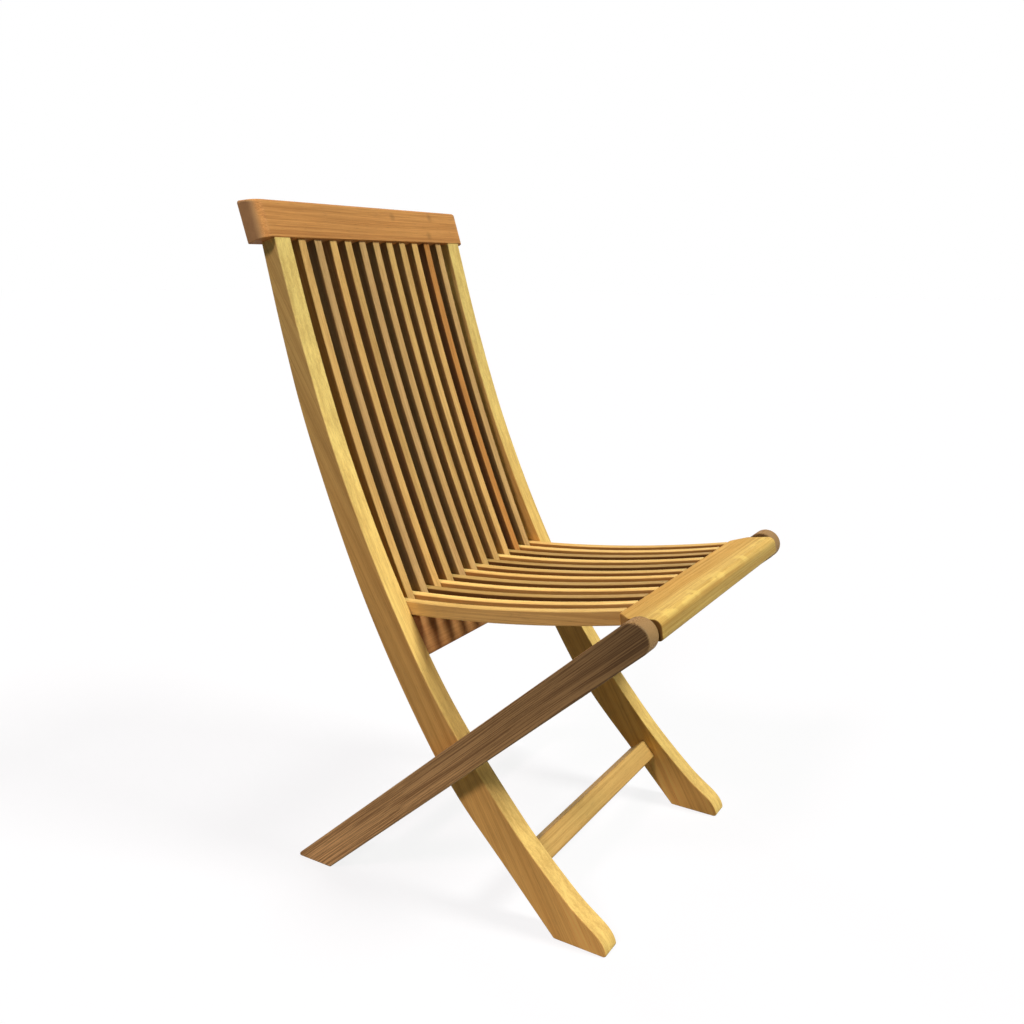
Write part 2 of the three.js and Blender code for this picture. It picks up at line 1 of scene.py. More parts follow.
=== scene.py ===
"""A folding slatted side chair in teak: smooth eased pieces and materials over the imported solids.

The frame's axes are metres with +Z up. The sitter faces -Y, and left and right are the sitter's.
Shapes are worked out in millimetres in the side view, whose first axis is the chair's Y and whose
second is its Z.
"""

import bmesh
import bpy
import numpy as np
from bpy.props import FloatProperty, FloatVectorProperty, PointerProperty
from mathutils import Matrix


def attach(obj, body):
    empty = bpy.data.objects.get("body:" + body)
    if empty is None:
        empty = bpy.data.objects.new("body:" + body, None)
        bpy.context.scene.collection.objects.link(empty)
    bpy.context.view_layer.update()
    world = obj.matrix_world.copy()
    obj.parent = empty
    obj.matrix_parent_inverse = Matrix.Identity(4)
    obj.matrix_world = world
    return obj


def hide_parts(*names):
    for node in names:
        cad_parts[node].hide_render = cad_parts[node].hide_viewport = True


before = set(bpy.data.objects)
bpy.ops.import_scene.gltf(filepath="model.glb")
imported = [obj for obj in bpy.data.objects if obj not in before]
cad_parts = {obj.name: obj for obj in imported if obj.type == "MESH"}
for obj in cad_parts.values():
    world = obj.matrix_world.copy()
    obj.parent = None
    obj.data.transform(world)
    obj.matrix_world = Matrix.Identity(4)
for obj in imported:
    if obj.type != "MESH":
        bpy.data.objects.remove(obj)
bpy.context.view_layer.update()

bl_info = {
    "name": "Folding slatted chair",
    "version": (1, 0, 0),
    "blender": (4, 5, 0),
    "location": "View3D > Sidebar > Folding Chair",
    "description": "Makes the visible pieces of a folding slatted chair, and a studio round it",
    "category": "Object",
}

MM = 0.001

# Overall sizes and pivots, in millimetres
TOTAL_HEIGHT = 900.0
CROSS_PIVOT_HEIGHT = 195.0
CROSS_PIVOT_SETBACK = 27.6
SEAT_PIVOT = np.array([-268.5, 425.0])

# Slats
BACK_SLATS = 11
SEAT_SLATS = BACK_SLATS + 1
SLAT_THICKNESS = 14.2
SLAT_SIDE_GAP = 1.08
BACK_SLAT_DEPTH = 16.0
BACK_SLAT_BOW = 10.2
BACK_SLAT_HEAD_SETBACK = 2.8
BACK_SLAT_FOOT_SETBACK = 12.3
SEAT_SLAT_DEPTH = 17.8
SEAT_SLAT_DIP = 7.0
SEAT_SLAT_REST_GAP = 0.5
SEAT_SLAT_REACH = 6.8
SEAT_SLAT_END_RADIUS = 8.2

# Stiles: stations as shares of the height under the crest rail and of the run from the toe, the
# steps between two stations, and how many points of the edges the arcs at toe and heel take up
STILE_THICKNESS = 29.0
STILE_TOE_Y = -254.0
STILE_RUN = 506.0
STILE_TOE_RADIUS = 5.0
STILE_HEEL_RADIUS = 3.0
STILE_FRONT_SHARES = np.array([
    [0, 0.03], [0.026, 0.052], [0.07, 0.148], [0.164, 0.306], [0.322, 0.5176],
    [0.492, 0.681], [0.672, 0.818], [0.847, 0.921], [1, 0.996],
])
STILE_REAR_SHARES = np.array([
    [0, 0.178], [0.088, 0.317], [0.182, 0.465], [0.274, 0.573], [0.403, 0.6964],
    [0.536, 0.8012], [0.716, 0.9172], [0.849, 0.983], [1, 1.0445],
])
STATION_STEPS = 14
TOE_POINTS = STATION_STEPS // 2
HEEL_POINTS = STATION_STEPS // 5

# Crest rail
CREST_HEIGHT = 48.6
CREST_DEPTH = 31.0
CREST_LEAN = np.radians(17.5)
CREST_TOP_FALL = np.radians(4.0)
CREST_PROUD = 0.9
CREST_OVERHANG = 18.5
CREST_CORNER_RADIUS = 16.0
CREST_REAR_RADIUS = 3.0

# Lower rail and stretchers
LOWER_RAIL_TOP = 372.8
LOWER_RAIL_BOTTOM = 327.0
LOWER_RAIL_DEPTH = 30.0
LOWER_RAIL_LEAN = np.radians(30.0)
LOWER_RAIL_RADIUS = 2.5
FRONT_STRETCHER_HEIGHT = 99.3
FRONT_STRETCHER_SETBACK = 19.5
FRONT_STRETCHER_WIDTH = 29.6
FRONT_STRETCHER_DEPTH = 31.5
FRONT_STRETCHER_LEAN = np.radians(41.0)
REAR_STRETCHER_REACH = 200.0
REAR_STRETCHER_WIDTH = 26.0
REAR_STRETCHER_DEPTH = 30.0
STRETCHER_RADIUS = 3.0

# Rear legs, whose round tops reach along the leg past the seat pivot
LEG_THICKNESS = 27.0
LEG_DEPTH = 40.6
LEG_PIVOT_OFFSET = 9.8
LEG_SIDE_GAP = 2.0
LEG_HEEL_RADIUS = 3.0
LEG_TOP_REACH = 3.0

# Seat front rail
SEAT_RAIL_RISE = 17.2
SEAT_RAIL_THICKNESS = 25.4
SEAT_RAIL_FRONT = 25.3
SEAT_RAIL_REAR = 36.0
SEAT_RAIL_TILT = np.radians(9.2)
SEAT_RAIL_END_GAP = 3.0
SEAT_RAIL_TOP_RADIUS = 10.0
SEAT_RAIL_LOWER_RADIUS = 5.0
SEAT_RAIL_REAR_RADIUS = 3.0
SEAT_CORNER_CUT = 21.0

# Rod, bolts and their bores
FIT_GAP = 0.3
RUNNING_GAP = 0.1
ROD_RADIUS = 3.0
ROD_END_INSET = 0.8
BOLT_RADIUS = 4.0
BOLT_IN_LEG = 19.0
BOLT_HEAD_RADIUS = 9.0
BOLT_HEAD_HEIGHT = 4.0
BOLT_HEAD_SINK = 1.2
BOLT_SOCKET_RADIUS = 2.9
BOLT_SOCKET_DEPTH = 2.2

# How far a piece runs into the one that holds it, and past a cut
LET_IN = 0.8
OVERRUN = 4.0

# Steps of the curves, and the angle past which an edge is drawn sharp
SLAT_STEPS = 56
FILLET_STEPS = 10
EDGE_STEPS = 5
TURN_STEPS = 60
SHARP_ANGLE = np.radians(38.0)

# The least of the user's edges in metres, the edges that the user doesn't set, and how softly and
# over how many softnesses the cut of the seat rail's corners starts
LEAST_EDGE = 0.0003
CREST_LOWER_EDGE = 1.2
BOLT_EDGE = 0.8
SEAT_CUT_SOFTNESS = 2.0
SEAT_CUT_SPAN = 3.0

# Planks: the seed of every random choice, how far apart two planks are in the wood, and the number
# of each piece's plank, from which the slats of a row count on
SEED = 7
PLANK_SPREAD = 3.0
STILE_PLANK = 0
CREST_PLANK = 2
LOWER_RAIL_PLANK = 3
FRONT_STRETCHER_PLANK = 4
LEG_PLANK = 5
REAR_STRETCHER_PLANK = 8
SEAT_RAIL_PLANK = 9
BACK_SLAT_PLANK = 10
SEAT_SLAT_PLANK = 30

# A tone is the share by which wood is lighter, and a warmth reddens it or, below zero, greys it.
# First what a row of slats draws from, then the slats that differ and what their tones and warmths
# gain.
TONE_CHOICES = (-0.22, 0.08)
WARMTH_CHOICES = (-0.15, 0.1)
BACK_SLAT_KINDS = (([2, 8], 0.1, 0.0), ([1, 4, 5, 10], 0.0, -0.35))
SEAT_SLAT_KINDS = (([2, 4, 6, 7, 9], -0.22, 0.25), ([1, 3, 5, 8], 0.2, 0.0))
REDDISH_SLAT = 9
REDDISH_TONE = -0.25
REDDISH_WARMTH = 1.0
LEAST_TONE = -0.88

# Tones and warmths that change over a piece, with heights in metres. Most are painted shade or
# painted light, which stays the same under any lamp.
# Painted shade on the back slats' sides that face each other, and its warmth
PAINTED_GAP_SHADE = 0.5
PAINTED_GAP_SHADE_WARMTH = 0.4
# Painted shade on the seat slats' sides that face each other, deeper down the side, and its warmth
SEAT_PAINTED_GAP_SHADE = 0.38
SEAT_PAINTED_GAP_SHADE_DEEP = 0.6
SEAT_PAINTED_GAP_SHADE_WARMTH = 0.6
# Painted light on the crest rail's rounded end corners
CREST_CORNER_PAINTED_LIGHT = 0.9
CREST_END_TURN = 1.3
# Stiles: painted shade on the broad sides, with its warmth, painted light on them towards the foot,
# a warmer lower part, and a lighter front below a joint in the wood
STILE_SIDE_PAINTED_SHADE = -0.08
STILE_BROAD_WARMTH = 0.2
STILE_LOW_WARMTH = 0.32
STILE_LOW_HEIGHT = 0.45
STILE_HIGH_HEIGHT = 0.75
STILE_FOOT_PAINTED_LIGHT = 0.45
STILE_FOOT_HEIGHT = 0.2
STILE_JOINT_HEIGHT = 0.713
STILE_JOINT_TONE = 0.1
# Rear legs: painted light on the flat sides at the foot that turns to painted shade with height,
# and a weaker painted shade and a warmth on the round end
LEG_FOOT_PAINTED_LIGHT = 0.5
LEG_PAINTED_SHADE_FALL = 2.6
LEG_END_PAINTED_SHADE = -0.25
LEG_END_HEIGHT = 0.4
LEG_END_WARMTH = 0.4
# Seat board: painted shade on its ends and front, tinted red, and a redder rear
BOARD_END_PAINTED_SHADE = -0.7
BOARD_FRONT_PAINTED_SHADE = -0.3
BOARD_FRONT_WARMTH = 0.2
BOARD_REAR_WARMTH = 0.45
BOARD_END_WARMTH = 0.6

# Noises of the teak: how often each changes in a metre along the grain and twice across it, and its
# detail. Lines change as often as the two frequencies give for wide layers and add for fine lines.
NOISE_ROUGHNESS = 0.6
SLOW = ((1.7, 7.0, 7.0), 2.0)
DRIFT_REACH = (0.0, 0.012, 0.012)
LAYERS = ((1.1, 120.0, 120.0), 4.0)
FIBRES = ((26.0, 2100.0, 2100.0), 2.0)
PATCHES = ((6.0, 24.0, 24.0), 3.0)
PORES = ((70.0, 1500.0, 1500.0), 1.0)
SPOTS = ((34.0, 46.0, 46.0), 2.0)
LINE_LENGTHWISE = 4.0
LINE_FREQUENCY = 350.0
FINE_LINE_FREQUENCY = 600.0
LINE_DETAIL = 3.0
BAND_SHARE = 0.8
FIBRE_SHARE = 0.2
PATTERN_SPREAD = 0.3

# Curves of the teak: the low and the high of what is read, and what they become
PORE_CURVE = (0.6, 0.74, 0.0, 1.0)
SPOT_RANGE = (0.5, 0.62)
SPOT_WARMTH_CURVE = (0.05, 0.2, 1.0, 0.0)
CALM_CURVE = (0.25, 0.8, 0.0, 0.85)
PATCH_CURVE = (0.3, 0.7, 0.93, 1.07)
END_LEVEL_CURVE = (0.2, 1.0, 1.0, 0.85)
ASHEN_END_CURVE = (0.15, 0.9, 0.0, 1.0)
ASHEN_WARMTH_CURVE = (0.0, 0.5, 1.0, 0.0)
RED_CURVE = (0.0, 1.0, 0.0, 1.0)
DUSTY_CURVE = (-1.0, 0.0, 1.0, 0.0)
TEAK_ROUGHNESS_CURVE = (0.35, 0.65, 0.7, 0.54)

# What the teak's finish is made of besides: depths, tints, relief and the crest rail's knots
CALM_SHARE = 0.6
PORE_DEPTH = 0.22
RED_TINT = (1.02, 0.72, 0.5, 1.0)
DUSTY_TINT = (0.96, 0.96, 1.4, 1.0)
GREY_TINT = (0.8, 1.05, 1.6, 1.0)
LINE_RELIEF = 0.6
FIBRE_RELIEF = 0.4
PORE_RELIEF = 0.5
TEAK_BUMP = (0.35, 0.0005)
TEAK_SPECULAR = 0.2
CREST_KNOTS = ((0.1424, 0.2608, 0.8908), (0.1298, 0.2522, 0.8636), (0.049, 0.26, 0.8884))
KNOT_CURVE = (0.0, 0.009, 0.7, 1.0)

# The teak of each slot: how much darker its dark streaks are, and how it differs from plain teak
TEAKS = {
    "stile_teak": {"depth": 0.16, "streaks": 1.2},
    "crest_teak": {"depth": 0.22, "streaks": 1.3, "fineness": 0.55, "knots": CREST_KNOTS},
    "back_slat_teak": {"depth": 0.2, "fineness": 0.5},
    "rail_teak": {"depth": 0.2},
    "stretcher_teak": {"depth": 0.17},
    "leg_teak": {"depth": 0.36, "streaks": 1.9, "fineness": 0.85, "redness": 0.12},
    "seat_rail_teak": {"depth": 0.26, "figure": 0.14, "redness": 0.35},
    "seat_slat_teak": {"depth": 0.2},
}

# Brass
TARNISH = ((90.0, 90.0, 90.0), 4.0)
SCRATCHES = ((300.0, 2400.0, 2400.0), 2.0)
TARNISH_CURVE = (0.42, 0.62, 0.0, 0.6)
TARNISH_LEVEL = 0.62
BRASS_ROUGHNESS_CURVE = (0.3, 0.7, 0.28, 0.5)
SCRATCH_ROUGHNESS = 0.1
BRASS_BUMP = (0.2, 0.0001)

# Stage, in metres. Each sun has the way that it shines from and the angle that it fills.
FLOOR_HALF_WIDTH = 30.0
FLOOR_COLOUR = (0.15, 0.14, 0.135, 1.0)
FLOOR_SEEN_COLOUR = (0.97, 0.97, 0.97, 1.0)
FLOOR_WHITE_SHARE = 0.86
SUNS = {
    "main_light": ((0.3, -1.0, 1.25), np.radians(16.0)),
    "side_light": ((-2.2, 0.3, 2.2), np.radians(12.0)),
    "back_light": ((0.35, 1.0, 0.35), np.radians(12.0)),
}
SIDE_LIGHT_COLOUR = (1.0, 0.74, 0.84)
LOW_LAMP_PLACE = (-1.0, -0.5, 0.1)
LOW_LAMP_SIZE = 0.5
SEEN_RAYS = ("Is Camera Ray", "Is Glossy Ray", "Is Transmission Ray")
CAMERA_AZIMUTH = -58.741
CAMERA_PITCH = 13.661
CAMERA_ROLL = 0.162
CAMERA_PLACE = (-1.1712, -0.688, 0.8167)
CAMERA_SENSOR = 36.0
CAMERA_LENS = 35.343
CAMERA_REACH = (0.05, 100.0)

# What the left piece of a pair is multiplied by to give the piece of each side
SIDES = {"left": (1.0, 1.0, 1.0), "right": (-1.0, 1.0, 1.0)}


# Directions of the side view


def leaning(lean):
    """The unit direction that leans back by an angle from straight up: its sine and its cosine."""
    return np.array([np.sin(lean), np.cos(lean)])


def right_of(direction):
    """The direction a quarter turn clockwise from a given one."""
    return np.array([direction[1], -direction[0]])


def unit(vector):
    """A vector over its own length."""
    return vector / np.linalg.norm(vector, axis=-1, keepdims=True)


# Curves of the side view, each worked out as a whole array of points


def spline(stations, steps):
    """A smooth curve through stations: on each span a cubic of the share along it, whose slopes at
    the two ends are half the step from the station before to the station after."""
    padded = np.vstack([stations[:1], stations, stations[-1:]])
    before, here, after, beyond = padded[:-3], padded[1:-2], padded[2:-1], padded[3:]
    leave = (after - before) / 2
    arrive = (beyond - here) / 2
    share = (np.arange(steps) / steps)[:, None, None]
    cubed = (2 * here - 2 * after + leave + arrive) * share**3
    squared = (3 * after - 3 * here - 2 * leave - arrive) * share**2
    spans = cubed + squared + leave * share + here
    return np.vstack([spans.transpose(1, 0, 2).reshape(-1, 2), stations[-1:]])


def arc(before, corner, after, radius, steps=FILLET_STEPS):
    """The arc of a radius that touches both sides of a corner: its centre plus the radius times the
    cosine and sine of an angle that runs evenly from one touching point to the other."""
    to_before = unit(before - corner)
    to_after = unit(after - corner)
    half_angle = np.arccos(np.clip(to_before @ to_after, -1, 1)) / 2
    centre = corner + unit(to_before + to_after) * radius / np.sin(half_angle)
    reach = radius / np.tan(half_angle)
    start = corner + to_before * reach - centre
    end = corner + to_after * reach - centre
    sweep = np.arctan2(start[0] * end[1] - start[1] * end[0], start @ end)
    angles = np.arctan2(start[1], start[0]) + sweep * np.linspace(0, 1, steps + 1)
    return centre + radius * np.stack([np.cos(angles), np.sin(angles)], axis=1)


def rounded(corners, radii):
    """An outline in which each corner is its arc, with a radius for each or one for all."""
    before, after = np.roll(corners, 1, axis=0), np.roll(corners, -1, axis=0)
    radii = np.broadcast_to(radii, len(corners))
    return np.vstack([arc(*places) for places in zip(before, corners, after, radii)])


def kept(outline, through, keep):
    """The part of a closed outline on the side of a line that keep points to: the points on that
    side, with a point added wherever the outline crosses the line."""
    side = (outline - through) @ keep
    side_after = np.roll(side, -1)
    crosses = side * side_after < 0
    share = np.where(crosses, side / np.where(crosses, side - side_after, 1), 0)
    crossing = outline + (np.roll(outline, -1, axis=0) - outline) * share[:, None]
    both = np.stack([outline, crossing], axis=1).reshape(-1, 2)
    used = np.stack([side >= 0, crosses], axis=1).reshape(-1)
    return both[used]


def rectangle(corner, lean, depth, height):
    """A leaning rectangle of the side view, from its front lower corner."""
    up = leaning(lean)
    back = right_of(up)
    behind = corner + back * depth
    return np.array([corner, behind, behind + up * height, corner + up * height])


def bow(start, end, rise):
    """The circle through start and end that rises to the right of the way between them: its centre,
    its radius, half the angle that it turns, and its two directions."""
    ahead = unit(end - start)
    aside = right_of(ahead)
    half_chord = np.linalg.norm(end - start) / 2
    radius = (half_chord**2 + rise**2) / (2 * rise)
    centre = start + ahead * half_chord + aside * (rise - radius)
    return centre, radius, np.arcsin(half_chord / radius), ahead, aside


def strip(curve, depth, before, after, end_space=0.0):
    """A band along a bow: the two circles of the bow's radius and of the radius plus the depth, run
    past the start and the end. No point but the last lies within end_space of the end."""
    centre, radius, half_turn, ahead, aside = curve
    first = -half_turn - before / radius
    last = half_turn + after / radius
    turns = np.r_[np.linspace(first, last - end_space / radius, SLAT_STEPS), last][:, None]
    across = np.cos(turns) * aside + np.sin(turns) * ahead
    return centre + (radius + depth) * across, centre + radius * across


# Surfaces: an outline carried along a line, or a profile turned about one


def tidy_outline(outline):
    """The outline without repeated points, running anticlockwise."""
    apart = np.linalg.norm(outline - np.roll(outline, 1, axis=0), axis=1) > MM
    outline = outline[apart]
    following = np.roll(outline, -1, axis=0)
    area = np.sum(outline[:, 0] * following[:, 1] - outline[:, 1] * following[:, 0])
    return outline if area > 0 else outline[::-1]


def mitres(outline):
    """For each point the step outwards that moves both of its sides out by one: the sum of the two
    sides' normals, over one plus their product."""
    ahead = unit(np.roll(outline, -1, axis=0) - outline)
    after = np.stack([ahead[:, 1], -ahead[:, 0]], axis=1)
    before = np.roll(after, 1, axis=0)
    return (before + after) / (1 + np.sum(before * after, axis=1))[:, None]


def carried(outline, low, high, low_edge, high_edge, stations=()):
    """A surface of two parameters, the place on the outline and the place along the way. The
    outline moves from low to high. Near each end it shrinks by the edge's radius times one less the
    sine of an angle, while it advances by the radius times one less the cosine, which rounds the
    edges."""
    outline = tidy_outline(outline)
    turn = np.linspace(0, np.pi / 2, EDGE_STEPS + 1)
    shrink = 1 - np.sin(turn)
    advance = 1 - np.cos(turn)
    stations = np.asarray(stations, float)
    way = np.r_[low + low_edge * advance, stations, high - high_edge * advance[::-1]]
    inset = np.r_[low_edge * shrink, 0 * stations, high_edge * shrink[::-1]]
    rings = outline[None] - mitres(outline)[None] * inset[:, None, None]
    along = np.broadcast_to(way[:, None, None], rings.shape[:2] + (1,))
    return np.concatenate([rings, along], axis=2)


def across_chair(rings):
    """Places rings of side view and way along the chair's X."""
    return rings[..., [2, 0, 1]]


def turned(profile, centre, sides=TURN_STEPS):
    """A surface of two parameters, the row of a profile and the angle about an axis along X. A row
    holds a place along the axis, a radius and how far its circle is drawn in to a hexagon, from 0
    to 1."""
    profile = np.asarray(profile, float)
    angle = np.linspace(0, 2 * np.pi, sides, endpoint=False)
    sixth = np.pi / 3
    flat = np.cos(sixth / 2) / np.cos(angle % sixth - sixth / 2)
    radius = profile[:, 1:2] * (1 + profile[:, 2:3] * (flat[None] - 1))
    place = np.broadcast_to(profile[:, 0:1], radius.shape)
    side = centre[0] + radius * np.cos(angle), centre[1] + radius * np.sin(angle)
    return np.stack([place, *side], axis=2)


# Meshes


def quads_of(index):
    """The four-sided faces between neighbouring rings, from an array of the points' numbers."""
    beside = np.roll(index, -1, axis=1)
    return np.stack([index[:-1], beside[:-1], beside[1:], index[1:]], axis=-1).reshape(-1, 4)


def shell(name, rings, bores=()):
    """A closed mesh: the faces between the rings, a flat face over each end, and through bores
    whose own rings run from one end face to the other."""
    grids = [rings, *bores]
    starts = np.cumsum([0] + [grid.shape[0] * grid.shape[1] for grid in grids])
    index = [
        start + np.arange(grid[..., 0].size).reshape(grid.shape[:2])
        for start, grid in zip(starts, grids)
    ]
    points = np.vstack([grid.reshape(-1, 3) for grid in grids]) * MM
    faces = np.vstack([quads_of(numbers) for numbers in index]).tolist()
    if not bores:
        faces += [index[0][0][::-1].tolist(), index[0][-1].tolist()]
    mesh = bpy.data.meshes.new(name)
    mesh.from_pydata(points, [], faces)
    form = bmesh.new()
    form.from_mesh(mesh)
    for end in (0, -1) if bores else ():
        rim = set(np.concatenate([numbers[end] for numbers in index]).tolist())
        edges = [edge for edge in form.edges if edge.is_boundary and edge.verts[0].index in rim]
        bmesh.ops.triangle_fill(form, edges=edges, use_beauty=True)
    bmesh.ops.recalc_face_normals(form, faces=form.faces)
    form.to_mesh(mesh)
    form.free()
    mesh.shade_smooth()
    mesh.set_sharp_from_angle(angle=SHARP_ANGLE)
    return mesh


def set_attribute(mesh, name, kind, field, values):
    """Gives each point of a mesh its value or vector of a name."""
    attribute = mesh.attributes.new(name, kind, "POINT")
    attribute.data.foreach_set(field, np.ascontiguousarray(values, np.float32).ravel())


# The shade and blush that mark_grain takes are mostly painted shade and painted light.
def mark_grain(mesh, along, plank, tone=0.0, warmth=0.0, shade=None, blush=None):
    """Gives each point its place in the plank that the piece is sawn from: the place along the
    grain and the two places across it, moved by a random step so that no two pieces match. End
    grain shows where the surface faces along the grain: it is the square of the normal's share
    along it. Shade and blush work out what is added to the tone and the warmth."""
    points = np.empty(len(mesh.vertices) * 3, np.float32)
    mesh.vertices.foreach_get("co", points)
    normals = np.empty_like(points)
    mesh.vertex_normals.foreach_get("vector", normals)
    points, normals = points.reshape(-1, 3), normals.reshape(-1, 3)
    aside = np.cross(along, [0.0, 1.0, 0.0] if abs(along[0]) > 0.9 else [1.0, 0.0, 0.0])
    axes = np.stack([along, aside, np.cross(along, aside)])
    moved = np.random.default_rng(SEED + plank).uniform(-1, 1, 3) * PLANK_SPREAD
    tones = np.full(len(points), tone) + (shade(points, normals) if shade else 0)
    warmths = np.full(len(points), warmth) + (blush(points, normals) if blush else 0)
    set_attribute(mesh, "grain", "FLOAT_VECTOR", "vector", points @ axes.T + moved)
    set_attribute(mesh, "end_grain", "FLOAT", "value", (normals @ along) ** 2)
    set_attribute(mesh, "tone", "FLOAT", "value", np.maximum(tones, LEAST_TONE))
    set_attribute(mesh, "warmth", "FLOAT", "value", warmths)


# Places shared by the pieces

SLAT_PITCH = 2 * (SLAT_THICKNESS + SLAT_SIDE_GAP)
INNER_X = (BACK_SLATS * SLAT_PITCH + SLAT_THICKNESS) / 2 + SLAT_SIDE_GAP
OUTER_X = INNER_X + STILE_THICKNESS
LEG_INNER_X = OUTER_X + LEG_SIDE_GAP
LEG_OUTER_X = LEG_INNER_X + LEG_THICKNESS
SEAT_RAIL_HALF_LENGTH = LEG_INNER_X - SEAT_RAIL_END_GAP

CREST_UP = leaning(CREST_LEAN)
CREST_BACK = right_of(CREST_UP)
CREST_FOOT = TOTAL_HEIGHT - CREST_HEIGHT * np.cos(CREST_LEAN)


def stile_edge(shares):
    """An edge of the stile through its stations, whose shares give height first and run second."""
    return spline(shares[:, ::-1] * [STILE_RUN, CREST_FOOT] + [STILE_TOE_Y, 0], STATION_STEPS)


STILE_FRONT = stile_edge(STILE_FRONT_SHARES)
STILE_REAR = stile_edge(STILE_REAR_SHARES)


def stile_front_at(height):
    """The point of the stile's front edge at a height, straight between the edge's own points."""
    return np.array([np.interp(height, STILE_FRONT[:, 1], STILE_FRONT[:, 0]), height])


CROSS_PIVOT = stile_front_at(CROSS_PIVOT_HEIGHT) + [CROSS_PIVOT_SETBACK, 0]
CREST_CORNER = STILE_FRONT[-1] - [CREST_PROUD, 0]

SLAT_HEAD = stile_front_at(CREST_FOOT - OVERRUN) + [BACK_SLAT_HEAD_SETBACK, 0]
SLAT_FOOT = stile_front_at(LOWER_RAIL_TOP) + [BACK_SLAT_FOOT_SETBACK, 0]
BACK_CURVE = bow(SLAT_FOOT, SLAT_HEAD, BACK_SLAT_BOW)

TO_SEAT_PIVOT = SEAT_PIVOT - CROSS_PIVOT
LEG_SLOPE = np.arctan2(TO_SEAT_PIVOT[1], -TO_SEAT_PIVOT[0]) - np.arcsin(
    LEG_PIVOT_OFFSET / np.linalg.norm(TO_SEAT_PIVOT)
)
LEG_ALONG = np.array([-np.cos(LEG_SLOPE), np.sin(LEG_SLOPE)])
LEG_RIGHT = right_of(LEG_ALONG)

SEAT_UP = leaning(SEAT_RAIL_TILT)
SEAT_BACK = right_of(SEAT_UP)

ROD_HEIGHT = LOWER_RAIL_TOP + SEAT_SLAT_REST_GAP + SEAT_SLAT_DEPTH / 2
ROD_REACH = BACK_CURVE[1] + BACK_SLAT_DEPTH + FIT_GAP + ROD_RADIUS
ROD_RISE = ROD_HEIGHT - BACK_CURVE[0][1]
ROD = np.array([BACK_CURVE[0][0] + np.sqrt(ROD_REACH**2 - ROD_RISE**2), ROD_HEIGHT])


def in_seat(back, up):
    """A place given by how far it lies behind and above the seat pivot, as the seat rail tilts."""
    return SEAT_PIVOT + SEAT_BACK * back + SEAT_UP * up


SEAT_CURVE = bow(
    in_seat(SEAT_RAIL_REAR, SEAT_RAIL_RISE), ROD + [0, SEAT_SLAT_DEPTH / 2], SEAT_SLAT_DIP
)


def places_across(count):
    """The places along X of a row of slats: even steps about the middle."""
    return (np.arange(count) - (count - 1) / 2) * SLAT_PITCH


def along_side(direction):
    """A direction of the side view as one of the chair's."""
    return np.array([0.0, direction[0], direction[1]])


ACROSS = np.array([1.0, 0.0, 0.0])
UP = np.array([0.0, 0.0, 1.0])

# Side views of the pieces


def stile_outline():
    """The front and rear edges are the smooth curves through their stations, and the toe and the
    heel are arcs."""
    toe, heel = STILE_FRONT[0], STILE_REAR[0]
    front = STILE_FRONT[TOE_POINTS:]
    rear = STILE_REAR[HEEL_POINTS:][::-1]
    heel_arc = arc(rear[-1], heel, toe, STILE_HEEL_RADIUS)
    toe_arc = arc(heel, toe, front[0], STILE_TOE_RADIUS)
    whole = np.vstack([heel_arc, toe_arc, front, rear])
    return kept(whole, CREST_CORNER + CREST_UP * LET_IN, -CREST_UP)


def leg_outline():
    """A straight bar, cut level on the floor, whose top is half a circle a little past the seat
    pivot."""
    turn = np.linspace(0, np.pi, 4 * FILLET_STEPS + 1)[:, None]
    top = SEAT_PIVOT + LEG_ALONG * LEG_TOP_REACH
    top = top + LEG_DEPTH / 2 * (np.cos(turn) * LEG_RIGHT + np.sin(turn) * LEG_ALONG)
    foot = SEAT_PIVOT - LEG_ALONG * SEAT_PIVOT[1] / LEG_ALONG[1]
    reach = LEG_RIGHT * LEG_DEPTH / 2
    across_floor = LEG_ALONG / LEG_ALONG[1]
    rear = foot + reach - across_floor * reach[1]
    front = foot - reach + across_floor * reach[1]
    front_arc = arc(top[-1], front, rear, LEG_HEEL_RADIUS)
    rear_arc = arc(front, rear, top[0], LEG_HEEL_RADIUS)
    return np.vstack([top, front_arc, rear_arc])


def back_slat_outline():
    """A band along the bow of the back, cut by the crest rail and by the lower rail."""
    outer, inner = strip(BACK_CURVE, BACK_SLAT_DEPTH, 2 * OVERRUN, 3 * OVERRUN)
    whole = np.vstack([outer, inner[::-1]])
    under_crest = kept(whole, CREST_CORNER + CREST_UP * LET_IN, -CREST_UP)
    return kept(under_crest, np.array([0.0, LOWER_RAIL_TOP - LET_IN]), np.array([0.0, 1.0]))


def seat_slat_outline():
    """A band along the bow of the seat, round at its rear end and cut by the front rail."""
    end_space = SEAT_SLAT_END_RADIUS + LET_IN
    outer, inner = strip(SEAT_CURVE, SEAT_SLAT_DEPTH, 2 * OVERRUN, SEAT_SLAT_REACH, end_space)
    outer_arc = arc(outer[-2], outer[-1], inner[-1], SEAT_SLAT_END_RADIUS)
    inner_arc = arc(outer[-1], inner[-1], inner[-2], SEAT_SLAT_END_RADIUS)
    whole = np.vstack([outer[:-1], outer_arc, inner_arc, inner[-2::-1]])
    return kept(whole, in_seat(SEAT_RAIL_REAR - LET_IN, 0), SEAT_BACK)


def lower_rail_outline():
    """A leaning rectangle cut level at its top."""
    foot = stile_front_at(LOWER_RAIL_BOTTOM)
    tall = 2 * (LOWER_RAIL_TOP - LOWER_RAIL_BOTTOM) / np.cos(LOWER_RAIL_LEAN)
    whole = rectangle(foot, LOWER_RAIL_LEAN, LOWER_RAIL_DEPTH, tall)
    levelled = kept(whole, np.array([0.0, LOWER_RAIL_TOP]), np.array([0.0, -1.0]))
    return rounded(levelled, LOWER_RAIL_RADIUS)


